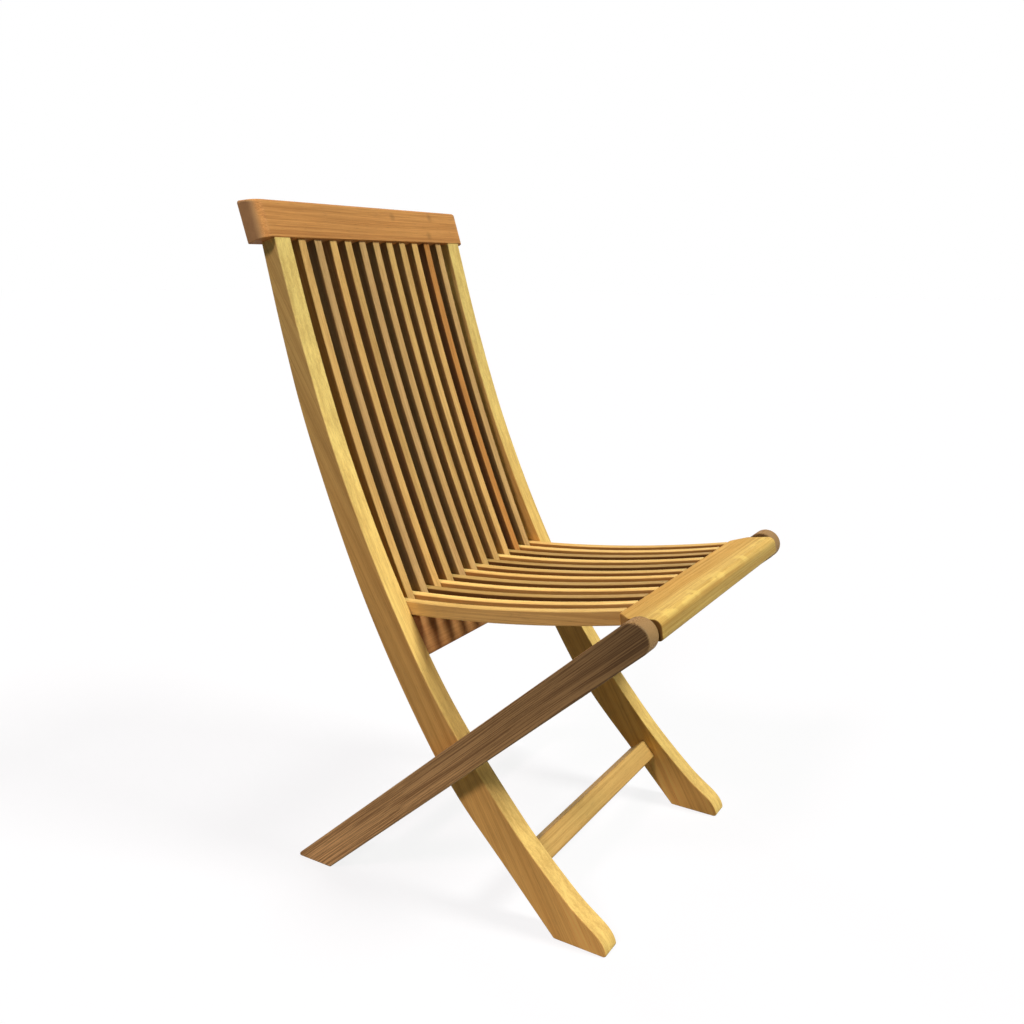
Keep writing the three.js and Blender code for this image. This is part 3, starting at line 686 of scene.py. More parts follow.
def front_stretcher_outline():
    """A leaning rectangle. The middle of its front face lies a set depth behind the stile's front
    edge, square to that edge."""
    below = stile_front_at(FRONT_STRETCHER_HEIGHT - OVERRUN)
    run = unit(stile_front_at(FRONT_STRETCHER_HEIGHT + OVERRUN) - below)
    face = stile_front_at(FRONT_STRETCHER_HEIGHT) + right_of(run) * FRONT_STRETCHER_SETBACK
    corner = face - leaning(FRONT_STRETCHER_LEAN) * FRONT_STRETCHER_WIDTH / 2
    whole = rectangle(corner, FRONT_STRETCHER_LEAN, FRONT_STRETCHER_DEPTH, FRONT_STRETCHER_WIDTH)
    return rounded(whole, STRETCHER_RADIUS)


def rear_stretcher_outline():
    """A rectangle square to the legs, in the middle of their depth."""
    lean = LEG_SLOPE - np.pi / 2
    up = leaning(lean)
    off_centre = (CROSS_PIVOT - SEAT_PIVOT) @ LEG_RIGHT
    middle = CROSS_PIVOT - LEG_ALONG * REAR_STRETCHER_REACH - LEG_RIGHT * off_centre
    corner = middle - up * REAR_STRETCHER_WIDTH / 2 - right_of(up) * REAR_STRETCHER_DEPTH / 2
    whole = rectangle(corner, lean, REAR_STRETCHER_DEPTH, REAR_STRETCHER_WIDTH)
    return rounded(whole, STRETCHER_RADIUS)


def crest_rings(edge):
    """The plank's outline from above carried up it. Heights grow towards the rear, in proportion to
    the height and to the depth, so that the top of the leaning plank is nearly level."""
    end, depth = OUTER_X + CREST_OVERHANG, CREST_DEPTH
    corners = np.array([[-end, 0], [end, 0], [end, depth], [-end, depth]])
    plan = rounded(corners, np.repeat([CREST_CORNER_RADIUS, CREST_REAR_RADIUS], 2))
    rings = carried(plan, 0.0, CREST_HEIGHT, CREST_LOWER_EDGE, edge)
    growth = np.tan(CREST_LEAN - CREST_TOP_FALL) / CREST_HEIGHT
    height = rings[..., 2] * (1 + growth * rings[..., 1])
    side = CREST_CORNER + rings[..., 1:2] * CREST_BACK + height[..., None] * CREST_UP
    return np.concatenate([rings[..., :1], side], axis=2)


def seat_rail_rings(edge):
    """The rail's side view carried across the chair. Behind the pivot it is pressed forwards in
    proportion, near each end by as much as the corner is cut, and the cut starts along a small
    hyperbola."""
    bottom, top = SEAT_RAIL_RISE - SEAT_RAIL_THICKNESS, SEAT_RAIL_RISE
    front, rear = -SEAT_RAIL_FRONT, SEAT_RAIL_REAR
    corners = np.array([[front, bottom], [rear, bottom], [rear, top], [front, top]])
    radii = np.array([
        SEAT_RAIL_LOWER_RADIUS, SEAT_RAIL_REAR_RADIUS, SEAT_RAIL_REAR_RADIUS, SEAT_RAIL_TOP_RADIUS
    ])
    cut_start = SEAT_RAIL_HALF_LENGTH - SEAT_CORNER_CUT
    near_cut = cut_start + SEAT_CUT_SOFTNESS * np.linspace(
        -SEAT_CUT_SPAN, SEAT_CUT_SPAN, FILLET_STEPS + 1
    )
    stations = np.r_[-near_cut[::-1], near_cut]
    reach = SEAT_RAIL_HALF_LENGTH
    rings = carried(rounded(corners, radii), -reach, reach, edge, edge, stations)
    past = np.abs(rings[..., 2]) - cut_start
    recess = (past + np.hypot(past, SEAT_CUT_SOFTNESS)) / 2
    pressed = rings[..., 0] * (1 - recess / SEAT_RAIL_REAR)
    back = np.where(rings[..., 0] > 0, pressed, rings[..., 0])
    side = SEAT_PIVOT + back[..., None] * SEAT_BACK + rings[..., 1:2] * SEAT_UP
    return np.concatenate([rings[..., 2:], side], axis=2)


def bolt_rings():
    """A head with a rounded rim and a hexagonal socket, and a shank that runs into the leg."""
    head = INNER_X + BOLT_HEAD_SINK
    under = head + BOLT_HEAD_HEIGHT
    tip = LEG_INNER_X + BOLT_IN_LEG
    turn = np.linspace(0, np.pi / 2, EDGE_STEPS + 1)
    ease, bevel = BOLT_EDGE, BOLT_EDGE / 4
    place = head + ease * (1 - np.sin(turn))
    radius = BOLT_HEAD_RADIUS - ease * (1 - np.cos(turn))
    rim = np.stack([place, radius, 0 * turn], axis=1)
    socket = BOLT_SOCKET_RADIUS
    start = [
        [head + BOLT_SOCKET_DEPTH, socket, 1],
        [head + bevel, socket, 1],
        [head, socket + bevel, 1],
    ]
    shank = [
        [under, BOLT_HEAD_RADIUS, 0],
        [under, BOLT_RADIUS, 0],
        [tip - ease, BOLT_RADIUS, 0],
        [tip, BOLT_RADIUS - ease, 0],
    ]
    return turned(np.vstack([start, rim[::-1], shank]), CROSS_PIVOT)


def stile_bore():
    """The shank's hole through a stile, with a wider one for the head."""
    floor = INNER_X + BOLT_HEAD_SINK + BOLT_HEAD_HEIGHT + FIT_GAP
    wide, narrow = BOLT_HEAD_RADIUS + FIT_GAP, BOLT_RADIUS + RUNNING_GAP
    profile = [[INNER_X, wide, 0], [floor, wide, 0], [floor, narrow, 0], [OUTER_X, narrow, 0]]
    return turned(profile, CROSS_PIVOT)


# Tones and warmths over the pieces' surfaces, from their points in metres and their normals. Most
# are painted shade or painted light.


def facing(normals, signs):
    """How far a surface faces a neighbour on the sides of these signs of x: the square of the
    normal's x."""
    return sum(np.maximum(normals[:, 0] * sign, 0) ** 2 for sign in signs)


def back_slat_shade(points, normals):
    """Painted shade: the sides that face the neighbours, across the narrow gaps, are darker."""
    return -PAINTED_GAP_SHADE * facing(normals, (-1, 1))


def back_slat_blush(points, normals):
    """The painted shade on the sides that face the neighbours is warm."""
    return PAINTED_GAP_SHADE_WARMTH * facing(normals, (-1, 1))


def seat_slat_looks(signs):
    """The painted shade of the gaps, and its warmth, on a seat slat with neighbours on these sides.
    Both grow with how far the surface faces a neighbour, and the shade also with the depth below
    the dished top, which is the distance from the bow's centre less the bow's radius."""

    def shade(points, normals):
        below = np.linalg.norm(points[:, 1:] / MM - SEAT_CURVE[0], axis=1) - SEAT_CURVE[1]
        depth = np.clip(below / SEAT_SLAT_DEPTH, 0, 1)
        return -facing(normals, signs) * (SEAT_PAINTED_GAP_SHADE + SEAT_PAINTED_GAP_SHADE_DEEP * depth)

    def blush(points, normals):
        return SEAT_PAINTED_GAP_SHADE_WARMTH * facing(normals, signs)

    return shade, blush


def stile_shade(points, normals):
    """The broad sides carry painted shade, and painted light towards the foot. The front is lighter
    between the foot and a joint in the wood, which only the right stile has."""
    broad = normals[:, 0] ** 2
    height = points[:, 2]
    foot = STILE_FOOT_PAINTED_LIGHT * np.clip(1 - height / STILE_FOOT_HEIGHT, 0, 1)
    below_joint = (height > STILE_FOOT_HEIGHT) & (height < STILE_JOINT_HEIGHT) & (points[:, 0] < 0)
    return broad * (STILE_SIDE_PAINTED_SHADE + foot) + (1 - broad) * STILE_JOINT_TONE * below_joint


def stile_blush(points, normals):
    """The broad sides are warmer than the front and the back, which tints their painted shade, and
    the lower part than the upper.
    """
    low = np.clip((STILE_HIGH_HEIGHT - points[:, 2]) / (STILE_HIGH_HEIGHT - STILE_LOW_HEIGHT), 0, 1)
    return STILE_BROAD_WARMTH * normals[:, 0] ** 2 + STILE_LOW_WARMTH * low


def crest_painted_light(points, normals):
    """Painted light: the rounded corners are lighter than the front and than the end grain between
    them.
    """
    ends = normals[:, 0] ** 2
    return CREST_CORNER_PAINTED_LIGHT * ends * (CREST_END_TURN - ends)


def leg_shade(points, normals):
    """Painted light and shade: the flat sides are lighter at the foot and darken with height, and
    the round end, whose painted shade is weaker, is lighter than them.
    """
    broad = normals[:, 0] ** 2
    falling = LEG_FOOT_PAINTED_LIGHT - LEG_PAINTED_SHADE_FALL * points[:, 2]
    return broad * falling + (1 - broad) * LEG_END_PAINTED_SHADE * (points[:, 2] > LEG_END_HEIGHT)


def leg_blush(points, normals):
    """The round end is warmer."""
    return LEG_END_WARMTH * (1 - normals[:, 0] ** 2) * (points[:, 2] > LEG_END_HEIGHT)


def board_shade(points, normals):
    """Painted shade: the ends of the board, which face the legs, and its front are darker."""
    front = np.maximum(-normals[:, 1], 0) ** 2
    return BOARD_END_PAINTED_SHADE * normals[:, 0] ** 2 + BOARD_FRONT_PAINTED_SHADE * front


def board_blush(points, normals):
    """The board reddens evenly from nose to rear edge, and its front and ends are redder, which
    tints their painted shade.
    """
    back = (points[:, 1] - points[:, 1].min()) / np.ptp(points[:, 1])
    front = np.maximum(-normals[:, 1], 0) ** 2
    ends = normals[:, 0] ** 2
    return BOARD_REAR_WARMTH * back + BOARD_FRONT_WARMTH * front + BOARD_END_WARMTH * ends


# Materials


def linear(red, green, blue):
    """A colour written as it looks on a screen, from 0 to 255, in the units that a shader reads.
    The numbers are the standard screen curve's: straight near black, and then a power of 2.4."""
    shares = np.array([red, green, blue]) / 255
    values = np.where(shares <= 0.04045, shares / 12.92, ((shares + 0.055) / 1.055) ** 2.4)
    return (*values.tolist(), 1.0)


class Recipe:
    """Adds nodes to a material or to the world, and links them."""

    def __init__(self, owner):
        owner.use_nodes = True
        self.tree = owner.node_tree
        self.tree.nodes.clear()

    def add(self, kind, inputs=None, output=0, **settings):
        """Adds a node, links or sets its inputs, and gives back one of its outputs."""
        node = self.tree.nodes.new(kind)
        for name, value in settings.items():
            setattr(node, name, value)
        for name, value in (inputs or {}).items():
            if isinstance(value, bpy.types.NodeSocket):
                self.tree.links.new(value, node.inputs[name])
            else:
                node.inputs[name].default_value = value
        return None if output is None else node.outputs[output]

    def math(self, operation, first, second):
        return self.add("ShaderNodeMath", {0: first, 1: second}, operation=operation)

    def times(self, first, second):
        return self.math("MULTIPLY", first, second)

    def plus(self, first, second):
        return self.math("ADD", first, second)

    def less(self, first, second):
        return self.math("SUBTRACT", first, second)

    def vector(self, operation, first, second, output=0):
        return self.add("ShaderNodeVectorMath", {0: first, 1: second}, output, operation=operation)

    def noise(self, place, scale, detail, output="Fac"):
        """A noise whose place is stretched by its scale along each axis."""
        inputs = {"Vector": self.vector("MULTIPLY", place, scale), "Scale": 1.0, "Detail": detail}
        return self.add("ShaderNodeTexNoise", {**inputs, "Roughness": NOISE_ROUGHNESS}, output)

    def ranged(self, value, low, high, to_low, to_high):
        """What the low and the high become, with a smooth step between them."""
        inputs = {"Value": value, "From Min": low, "From Max": high}
        inputs |= {"To Min": to_low, "To Max": to_high}
        return self.add("ShaderNodeMapRange", inputs, interpolation_type="SMOOTHSTEP")

    def mixed(self, share, first, second, blend="MIX"):
        inputs = {0: share, 6: first, 7: second}
        return self.add("ShaderNodeMix", inputs, 2, data_type="RGBA", blend_type=blend)

    def tinted(self, colour, tint):
        return self.mixed(1.0, colour, tint, "MULTIPLY")

    def bumped(self, height, strength, distance):
        inputs = {"Height": height, "Strength": strength, "Distance": distance}
        return self.add("ShaderNodeBump", inputs)

    def finish(self, shader, kind="ShaderNodeOutputMaterial"):
        self.add(kind, {"Surface": shader}, None)

    def attribute(self, name, output):
        kind = {"attribute_name": name, "attribute_type": "GEOMETRY"}
        return self.add("ShaderNodeAttribute", None, output, **kind)


def teak(name, light, dark, figure, streaks, fineness, knots):
    """Sawn teak. Layers, lines, fibres and pores are noises drawn out along the grain. The place at
    which the layers, lines and spots are read is moved sideways by a slow noise, so that they
    wander. Fineness is the share of fine lines against wide layers, and figure is how much light
    spots add where the wood isn't warm. End grain is calmer, darker and, where it isn't warm,
    greyer. Knots are places in metres round which the wood is darker."""
    material = bpy.data.materials.new(name)
    recipe = Recipe(material)
    plank = recipe.attribute("grain", "Vector")
    slow = recipe.noise(plank, *SLOW, "Color")
    centred = recipe.vector("SUBTRACT", slow, (0.5, 0.5, 0.5))
    drift = recipe.vector("MULTIPLY", centred, DRIFT_REACH)
    wandering = recipe.vector("ADD", plank, drift)
    layers = recipe.noise(wandering, *LAYERS)
    across = LINE_FREQUENCY + FINE_LINE_FREQUENCY * fineness
    lines = recipe.noise(wandering, (LINE_LENGTHWISE, across, across), LINE_DETAIL)
    fibres = recipe.noise(plank, *FIBRES)
    patches = recipe.noise(plank, *PATCHES)
    pores = recipe.ranged(recipe.noise(plank, *PORES), *PORE_CURVE)
    warmth = recipe.attribute("warmth", "Fac")
    ends = recipe.attribute("end_grain", "Fac")
    spots = recipe.ranged(recipe.noise(wandering, *SPOTS), *SPOT_RANGE, 0.0, figure)
    spots = recipe.times(spots, recipe.ranged(warmth, *SPOT_WARMTH_CURVE))

    wide = recipe.times(layers, BAND_SHARE * (1 - fineness))
    fine = recipe.times(lines, BAND_SHARE * fineness)
    pattern = recipe.plus(recipe.plus(wide, fine), recipe.times(fibres, FIBRE_SHARE))
    half_span = 0.5 / streaks * PATTERN_SPREAD
    spotted = recipe.plus(pattern, spots)
    share = recipe.ranged(spotted, 0.5 - half_span, 0.5 + half_span, 0.0, 1.0)
    calm = recipe.ranged(ends, *CALM_CURVE)
    share = recipe.add("ShaderNodeMix", {0: calm, 2: share, 3: CALM_SHARE}, data_type="FLOAT")
    colour = recipe.mixed(share, linear(*dark), linear(*light))

    level = recipe.ranged(patches, *PATCH_CURVE)
    level = recipe.times(level, recipe.less(1.0, recipe.times(pores, PORE_DEPTH)))
    for knot in knots:
        place = recipe.add("ShaderNodeTexCoord", None, "Object")
        away = recipe.vector("DISTANCE", place, knot, "Value")
        level = recipe.times(level, recipe.ranged(away, *KNOT_CURVE))
    tone = recipe.attribute("tone", "Fac")
    level = recipe.times(level, recipe.plus(1.0, tone))
    level = recipe.times(level, recipe.ranged(ends, *END_LEVEL_CURVE))
    ashen_end = recipe.ranged(ends, *ASHEN_END_CURVE)
    ashen = recipe.times(ashen_end, recipe.ranged(warmth, *ASHEN_WARMTH_CURVE))
    lit = recipe.add("ShaderNodeVectorMath", {0: colour, "Scale": level}, operation="SCALE")
    red = recipe.tinted(lit, RED_TINT)
    dusty = recipe.tinted(lit, DUSTY_TINT)
    grey = recipe.tinted(lit, GREY_TINT)
    warmed = recipe.mixed(recipe.ranged(warmth, *RED_CURVE), lit, red)
    cooled = recipe.mixed(recipe.ranged(warmth, *DUSTY_CURVE), warmed, dusty)
    final = recipe.mixed(ashen, cooled, grey)

    rough = recipe.ranged(pattern, *TEAK_ROUGHNESS_CURVE)
    relief = recipe.plus(recipe.times(lines, LINE_RELIEF), recipe.times(fibres, FIBRE_RELIEF))
    relief = recipe.less(relief, recipe.times(pores, PORE_RELIEF))
    inputs = {"Base Color": final, "Roughness": rough, "Normal": recipe.bumped(relief, *TEAK_BUMP)}
    inputs["Specular IOR Level"] = TEAK_SPECULAR
    recipe.finish(recipe.add("ShaderNodeBsdfPrincipled", inputs))
    return material


def brass(name, colour):
    """Dull brass: patches of tarnish, and fine scratches round and along."""
    material = bpy.data.materials.new(name)
    recipe = Recipe(material)
    place = recipe.add("ShaderNodeTexCoord", None, "Object")
    tarnish = recipe.noise(place, *TARNISH)
    scratches = recipe.noise(place, *SCRATCHES)
    share = recipe.ranged(tarnish, *TARNISH_CURVE)
    dulled = linear(*(TARNISH_LEVEL * value for value in colour))
    tint = recipe.mixed(share, linear(*colour), dulled)
    even = recipe.ranged(tarnish, *BRASS_ROUGHNESS_CURVE)
    rough = recipe.plus(even, recipe.times(scratches, SCRATCH_ROUGHNESS))
    bump = recipe.bumped(scratches, *BRASS_BUMP)
    inputs = {"Base Color": tint, "Roughness": rough, "Normal": bump, "Metallic": 1.0}
    recipe.finish(recipe.add("ShaderNodeBsdfPrincipled", inputs))
    return material


# Sizes and colours that a user would change


def size(label, text, default, high):
    """A radius in metres."""
    return FloatProperty(
        name=label, description=text, default=default, min=LEAST_EDGE, max=high, unit="LENGTH",
        precision=4,
    )


def strength_of(label, text, default, unit="NONE"):
    """The strength or the power of a lamp."""
    return FloatProperty(name=label, description=text, default=default, min=0.0, unit=unit)


def factor_of(label, text, default, high):
    """A share, or a factor that may be more than one."""
    return FloatProperty(
        name=label, description=text, default=default, min=0.0, max=high, subtype="FACTOR"
    )


def colour_of(label, text, default):
    """A colour, whose default is written as it looks on a screen, from 0 to 255."""
    return FloatVectorProperty(
        name=label, description=text, default=tuple(value / 255 for value in default), min=0, max=1,
        size=3, subtype="COLOR_GAMMA",
    )


def teak_colour(label, default):
    """The light colour of the teak of one kind of piece."""
    return colour_of(label, f"Light colour of the teak: {label.lower()}", default)


class FoldingChairSizes(bpy.types.PropertyGroup):
    slat_edge: size("Slat edge", "Radius on the long edges of every slat", 0.0013, 0.003)
    frame_edge: size("Frame edge", "Radius on stiles, rails and stretchers", 0.0016, 0.0025)
    leg_edge: size("Leg edge", "Radius on the edges of the rear legs", 0.0026, 0.003)
    crest_edge: size("Crest top edge", "Radius on the top edge of the crest rail", 0.0036, 0.006)
    seat_rail_edge: size("Seat rail end edge", "Radius on the ends of the seat rail", 0.0012, 0.003)


class FoldingChairColours(bpy.types.PropertyGroup):
    crest: teak_colour("Crest rail", (208, 150, 79))
    stile: teak_colour("Stiles", (238, 212, 122))
    back_slat: teak_colour("Back slats", (226, 186, 108))
    seat_slat: teak_colour("Seat slats", (255, 219, 127))
    rail: teak_colour("Lower back rail", (180, 128, 70))
    stretcher: teak_colour("Stretchers", (213, 176, 98))
    leg: teak_colour("Rear legs", (214, 178, 112))
    seat_rail: teak_colour("Seat front rail", (239, 208, 110))
    brass: colour_of("Brass", "Colour of bolts, washers, pins and rod", (196, 164, 100))
    main_light: strength_of("Main light", "Strength of the light from the front", 2.95)
    side_light: strength_of("Side light", "Strength of the light from the side", 1.3)
    back_light: strength_of("Back light", "Strength of the light from behind", 0.5)
    low_lamp: strength_of("Low lamp", "Power of the lamp by the feet", 0.4, "POWER")
    sky: factor_of("Sky", "Brightness of the light from all round", 0.035, 2.0)
    grain_contrast: factor_of("Grain contrast", "How strongly the teak is streaked", 1.0, 3.0)


def sizes():
    """The sizes as the user has set them."""
    return bpy.context.scene.folding_chair_sizes


def colours():
    """The colours and lights as the user has set them."""
    return bpy.context.scene.folding_chair_colours


def material_of(slot):
    """The finish of a slot, made once."""
    name = "dull_brass" if slot == "brass" else f"sawn_{slot}"
    found = bpy.data.materials.get(name)
    if found:
        return found
    light = [255 * value for value in getattr(colours(), slot.removesuffix("_teak"))]
    return brass(name, light) if slot == "brass" else teak_of(name, light, **TEAKS[slot])


def teak_of(name, light, depth, figure=0.0, streaks=1.0, fineness=0.4, redness=0.25, knots=()):
    """The teak of one kind of piece. Its dark colour is its light one less the share that is its
    depth, and the redness is how much less than that the red falls, and how much more the blue."""
    falls = [depth * (1 - redness), depth, depth * (1 + redness)]
    dark = [value * (1 - fall) for value, fall in zip(light, falls)]
    return teak(name, light, dark, figure, streaks * colours().grain_contrast, fineness, knots)


# Operators


def put(mesh, slot, body, *nodes):
    """Shows the mesh as a piece that rides on a body and stands for the solids of these names."""
    mesh.materials.append(material_of(slot))
    piece = bpy.data.objects.new(mesh.name, mesh)
    bpy.context.scene.collection.objects.link(piece)
    even = piece.modifiers.new("Even faces", "WEIGHTED_NORMAL")
    even.keep_sharp = True
    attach(piece, body)
    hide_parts(*nodes)


def make_crossbar(name, outline, inner, plank, slot, body, node):
    """Makes a rail or a stretcher: its side view carried across the chair and a little into what
    holds it on each side."""
    edge = sizes().frame_edge / MM
    reach = inner + LET_IN
    mesh = shell(name, across_chair(carried(outline, -reach, reach, edge, edge)))
    mark_grain(mesh, ACROSS, plank)
    put(mesh, slot, body, node)


def plank_choices(count, plank, kinds):
    """How light and how warm each slat of a row is: small random steps, the same each time, and
    what the kinds of slats that differ gain."""
    draw = np.random.default_rng(SEED + plank)
    tones, warmths = draw.uniform(*TONE_CHOICES, count), draw.uniform(*WARMTH_CHOICES, count)
    for slats, tone, warmth in kinds:
        tones[slats] += tone
        warmths[slats] += warmth
    return tones, warmths


class FOLDING_CHAIR_OT_stiles(bpy.types.Operator):
    """Make the two bowed stiles"""

    bl_idname = "folding_chair.stiles"
    bl_label = "Stiles"
    bl_options = {"REGISTER", "UNDO"}

    def execute(self, context):
        edge = sizes().frame_edge / MM
        rings = across_chair(carried(stile_outline(), INNER_X, OUTER_X, edge, edge))
        bore = stile_bore()
        along = along_side(unit(STILE_FRONT[-1] - STILE_FRONT[0]))
        for number, (side, flip) in enumerate(SIDES.items()):
            mesh = shell(f"bowed_stile_{side}", rings * flip, [bore * flip])
            mark_grain(mesh, along, STILE_PLANK + number, shade=stile_shade, blush=stile_blush)
            put(mesh, "stile_teak", "back_frame", f"stile_{side}")
        return {"FINISHED"}


class FOLDING_CHAIR_OT_crest_rail(bpy.types.Operator):
    """Make the crest rail"""

    bl_idname = "folding_chair.crest_rail"
    bl_label = "Crest rail"
    bl_options = {"REGISTER", "UNDO"}

    def execute(self, context):
        mesh = shell("crest_plank", crest_rings(sizes().crest_edge / MM))
        mark_grain(mesh, ACROSS, CREST_PLANK, shade=crest_painted_light)
        put(mesh, "crest_teak", "back_frame", "crest_rail")
        return {"FINISHED"}


class FOLDING_CHAIR_OT_back_slats(bpy.types.Operator):
    """Make the eleven slats of the back"""

    bl_idname = "folding_chair.back_slats"
    bl_label = "Back slats"
    bl_options = {"REGISTER", "UNDO"}

    def execute(self, context):
        edge = sizes().slat_edge / MM
        half = SLAT_THICKNESS / 2
        rings = across_chair(carried(back_slat_outline(), -half, half, edge, edge))
        along = along_side(unit(SLAT_HEAD - SLAT_FOOT))
        tones, warmths = plank_choices(BACK_SLATS, BACK_SLAT_PLANK, BACK_SLAT_KINDS)
        tones[REDDISH_SLAT], warmths[REDDISH_SLAT] = REDDISH_TONE, REDDISH_WARMTH
        for number, place in enumerate(places_across(BACK_SLATS)):
            mesh = shell(f"bowed_back_slat_{number + 1:02d}", rings + ACROSS * place)
            looks = tones[number], warmths[number], back_slat_shade, back_slat_blush
            mark_grain(mesh, along, BACK_SLAT_PLANK + number, *looks)
            put(mesh, "back_slat_teak", "back_frame", f"back_slat_{number + 1:02d}")
        return {"FINISHED"}


class FOLDING_CHAIR_OT_rails(bpy.types.Operator):
    """Make the lower back rail and the front stretcher between the stiles"""

    bl_idname = "folding_chair.rails"
    bl_label = "Lower rail and front stretcher"
    bl_options = {"REGISTER", "UNDO"}

    def execute(self, context):
        make_crossbar(
            "level_topped_rail", lower_rail_outline(), INNER_X, LOWER_RAIL_PLANK,
            "rail_teak", "back_frame", "lower_back_rail",
        )
        make_crossbar(
            "foot_stretcher", front_stretcher_outline(), INNER_X, FRONT_STRETCHER_PLANK,
            "stretcher_teak", "back_frame", "front_stretcher",
        )
        return {"FINISHED"}


class FOLDING_CHAIR_OT_rear_legs(bpy.types.Operator):
    """Make the two rear legs and the stretcher between them"""

    bl_idname = "folding_chair.rear_legs"
    bl_label = "Rear legs"
    bl_options = {"REGISTER", "UNDO"}

    def execute(self, context):
        edge = sizes().leg_edge / MM
        rings = across_chair(carried(leg_outline(), LEG_INNER_X, LEG_OUTER_X, edge, edge))
        for number, (side, flip) in enumerate(SIDES.items()):
            mesh = shell(f"round_topped_leg_{side}", rings * flip)
            along = along_side(LEG_ALONG)
            mark_grain(mesh, along, LEG_PLANK + number, shade=leg_shade, blush=leg_blush)
            put(mesh, "leg_teak", "rear_legs", f"rear_leg_{side}")
        make_crossbar(
            "leg_stretcher", rear_stretcher_outline(), LEG_INNER_X, REAR_STRETCHER_PLANK,
            "stretcher_teak", "rear_legs", "rear_stretcher",
        )
        return {"FINISHED"}


class FOLDING_CHAIR_OT_seat_rail(bpy.types.Operator):
    """Make the front rail of the seat"""

    bl_idname = "folding_chair.seat_rail"
    bl_label = "Seat front rail"
    bl_options = {"REGISTER", "UNDO"}

    def execute(self, context):
        mesh = shell("nosed_seat_board", seat_rail_rings(sizes().seat_rail_edge / MM))
        mark_grain(mesh, ACROSS, SEAT_RAIL_PLANK, shade=board_shade, blush=board_blush)
        put(mesh, "seat_rail_teak", "seat", "seat_front_rail")
        return {"FINISHED"}


class FOLDING_CHAIR_OT_seat_slats(bpy.types.Operator):
    """Make the twelve slats of the seat"""

    bl_idname = "folding_chair.seat_slats"
    bl_label = "Seat slats"
    bl_options = {"REGISTER", "UNDO"}

    def execute(self, context):
        edge = sizes().slat_edge / MM
        half = SLAT_THICKNESS / 2
        rings = across_chair(carried(seat_slat_outline(), -half, half, edge, edge))
        radius = ROD_RADIUS + RUNNING_GAP
        bore = turned([[-half, radius, 0], [half, radius, 0]], ROD, TURN_STEPS // 2)
        along = along_side(unit(in_seat(0, 0) - ROD))
        tones, warmths = plank_choices(SEAT_SLATS, SEAT_SLAT_PLANK, SEAT_SLAT_KINDS)
        for number, place in enumerate(places_across(SEAT_SLATS)):
            moved = ACROSS * place
            mesh = shell(f"dished_seat_slat_{number + 1:02d}", rings + moved, [bore + moved])
            sides = [-1] * (number > 0) + [1] * (number < SEAT_SLATS - 1)
            looks = tones[number], warmths[number], *seat_slat_looks(sides)
            mark_grain(mesh, along, SEAT_SLAT_PLANK + number, *looks)
            put(mesh, "seat_slat_teak", "seat", f"seat_slat_{number + 1:02d}")
        return {"FINISHED"}


class FOLDING_CHAIR_OT_fittings(bpy.types.Operator):
    """Make the bolts and the rod, and give the washers and pins their brass"""

    bl_idname = "folding_chair.fittings"
    bl_label = "Bolts, rod, washers and pins"
    bl_options = {"REGISTER", "UNDO"}

    def execute(self, context):
        for side, flip in SIDES.items():
            mesh = shell(f"socket_bolt_{side}", bolt_rings() * flip)
            put(mesh, "brass", "rear_legs", f"pivot_bolt_{side}")
        end = places_across(SEAT_SLATS)[-1] + SLAT_THICKNESS / 2 - ROD_END_INSET
        ease = BOLT_EDGE
        profile = [
            [-end, ROD_RADIUS - ease, 0], [ease - end, ROD_RADIUS, 0],
            [end - ease, ROD_RADIUS, 0], [end, ROD_RADIUS - ease, 0],
        ]
        mesh = shell("slat_end_rod", turned(profile, ROD, TURN_STEPS // 2))
        put(mesh, "brass", "seat", "seat_rear_rod")
        for node in ("pivot_washer", "seat_washer", "seat_pin"):
            for side in SIDES:
                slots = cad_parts[f"{node}_{side}"].data.materials
                for place in range(len(slots)):
                    slots[place] = material_of("brass")
        return {"FINISHED"}


class FOLDING_CHAIR_OT_stage(bpy.types.Operator):
    """Make the floor, the lamps, the sky and the camera"""

    bl_idname = "folding_chair.stage"
    bl_label = "Stage"
    bl_options = {"REGISTER", "UNDO"}

    def execute(self, context):
        make_floor()
        make_sky(colours().sky)
        for name, (way, spread) in SUNS.items():
            add_light(name, "SUN", way, getattr(colours(), name)).angle = spread
        bpy.data.lights["side_light"].color = SIDE_LIGHT_COLOUR
        add_light("low_lamp", "AREA", LOW_LAMP_PLACE, colours().low_lamp).size = LOW_LAMP_SIZE
        make_camera()
        bpy.context.scene.view_settings.view_transform = "Standard"
        return {"FINISHED"}


def seen_rays(recipe):
    """One where a ray comes from the camera, a reflection or through glass, and zero elsewhere."""
    rays = [recipe.add("ShaderNodeLightPath", None, name) for name in SEEN_RAYS]
    both = recipe.math("MAXIMUM", rays[0], rays[1])
    return recipe.math("MAXIMUM", both, rays[2])


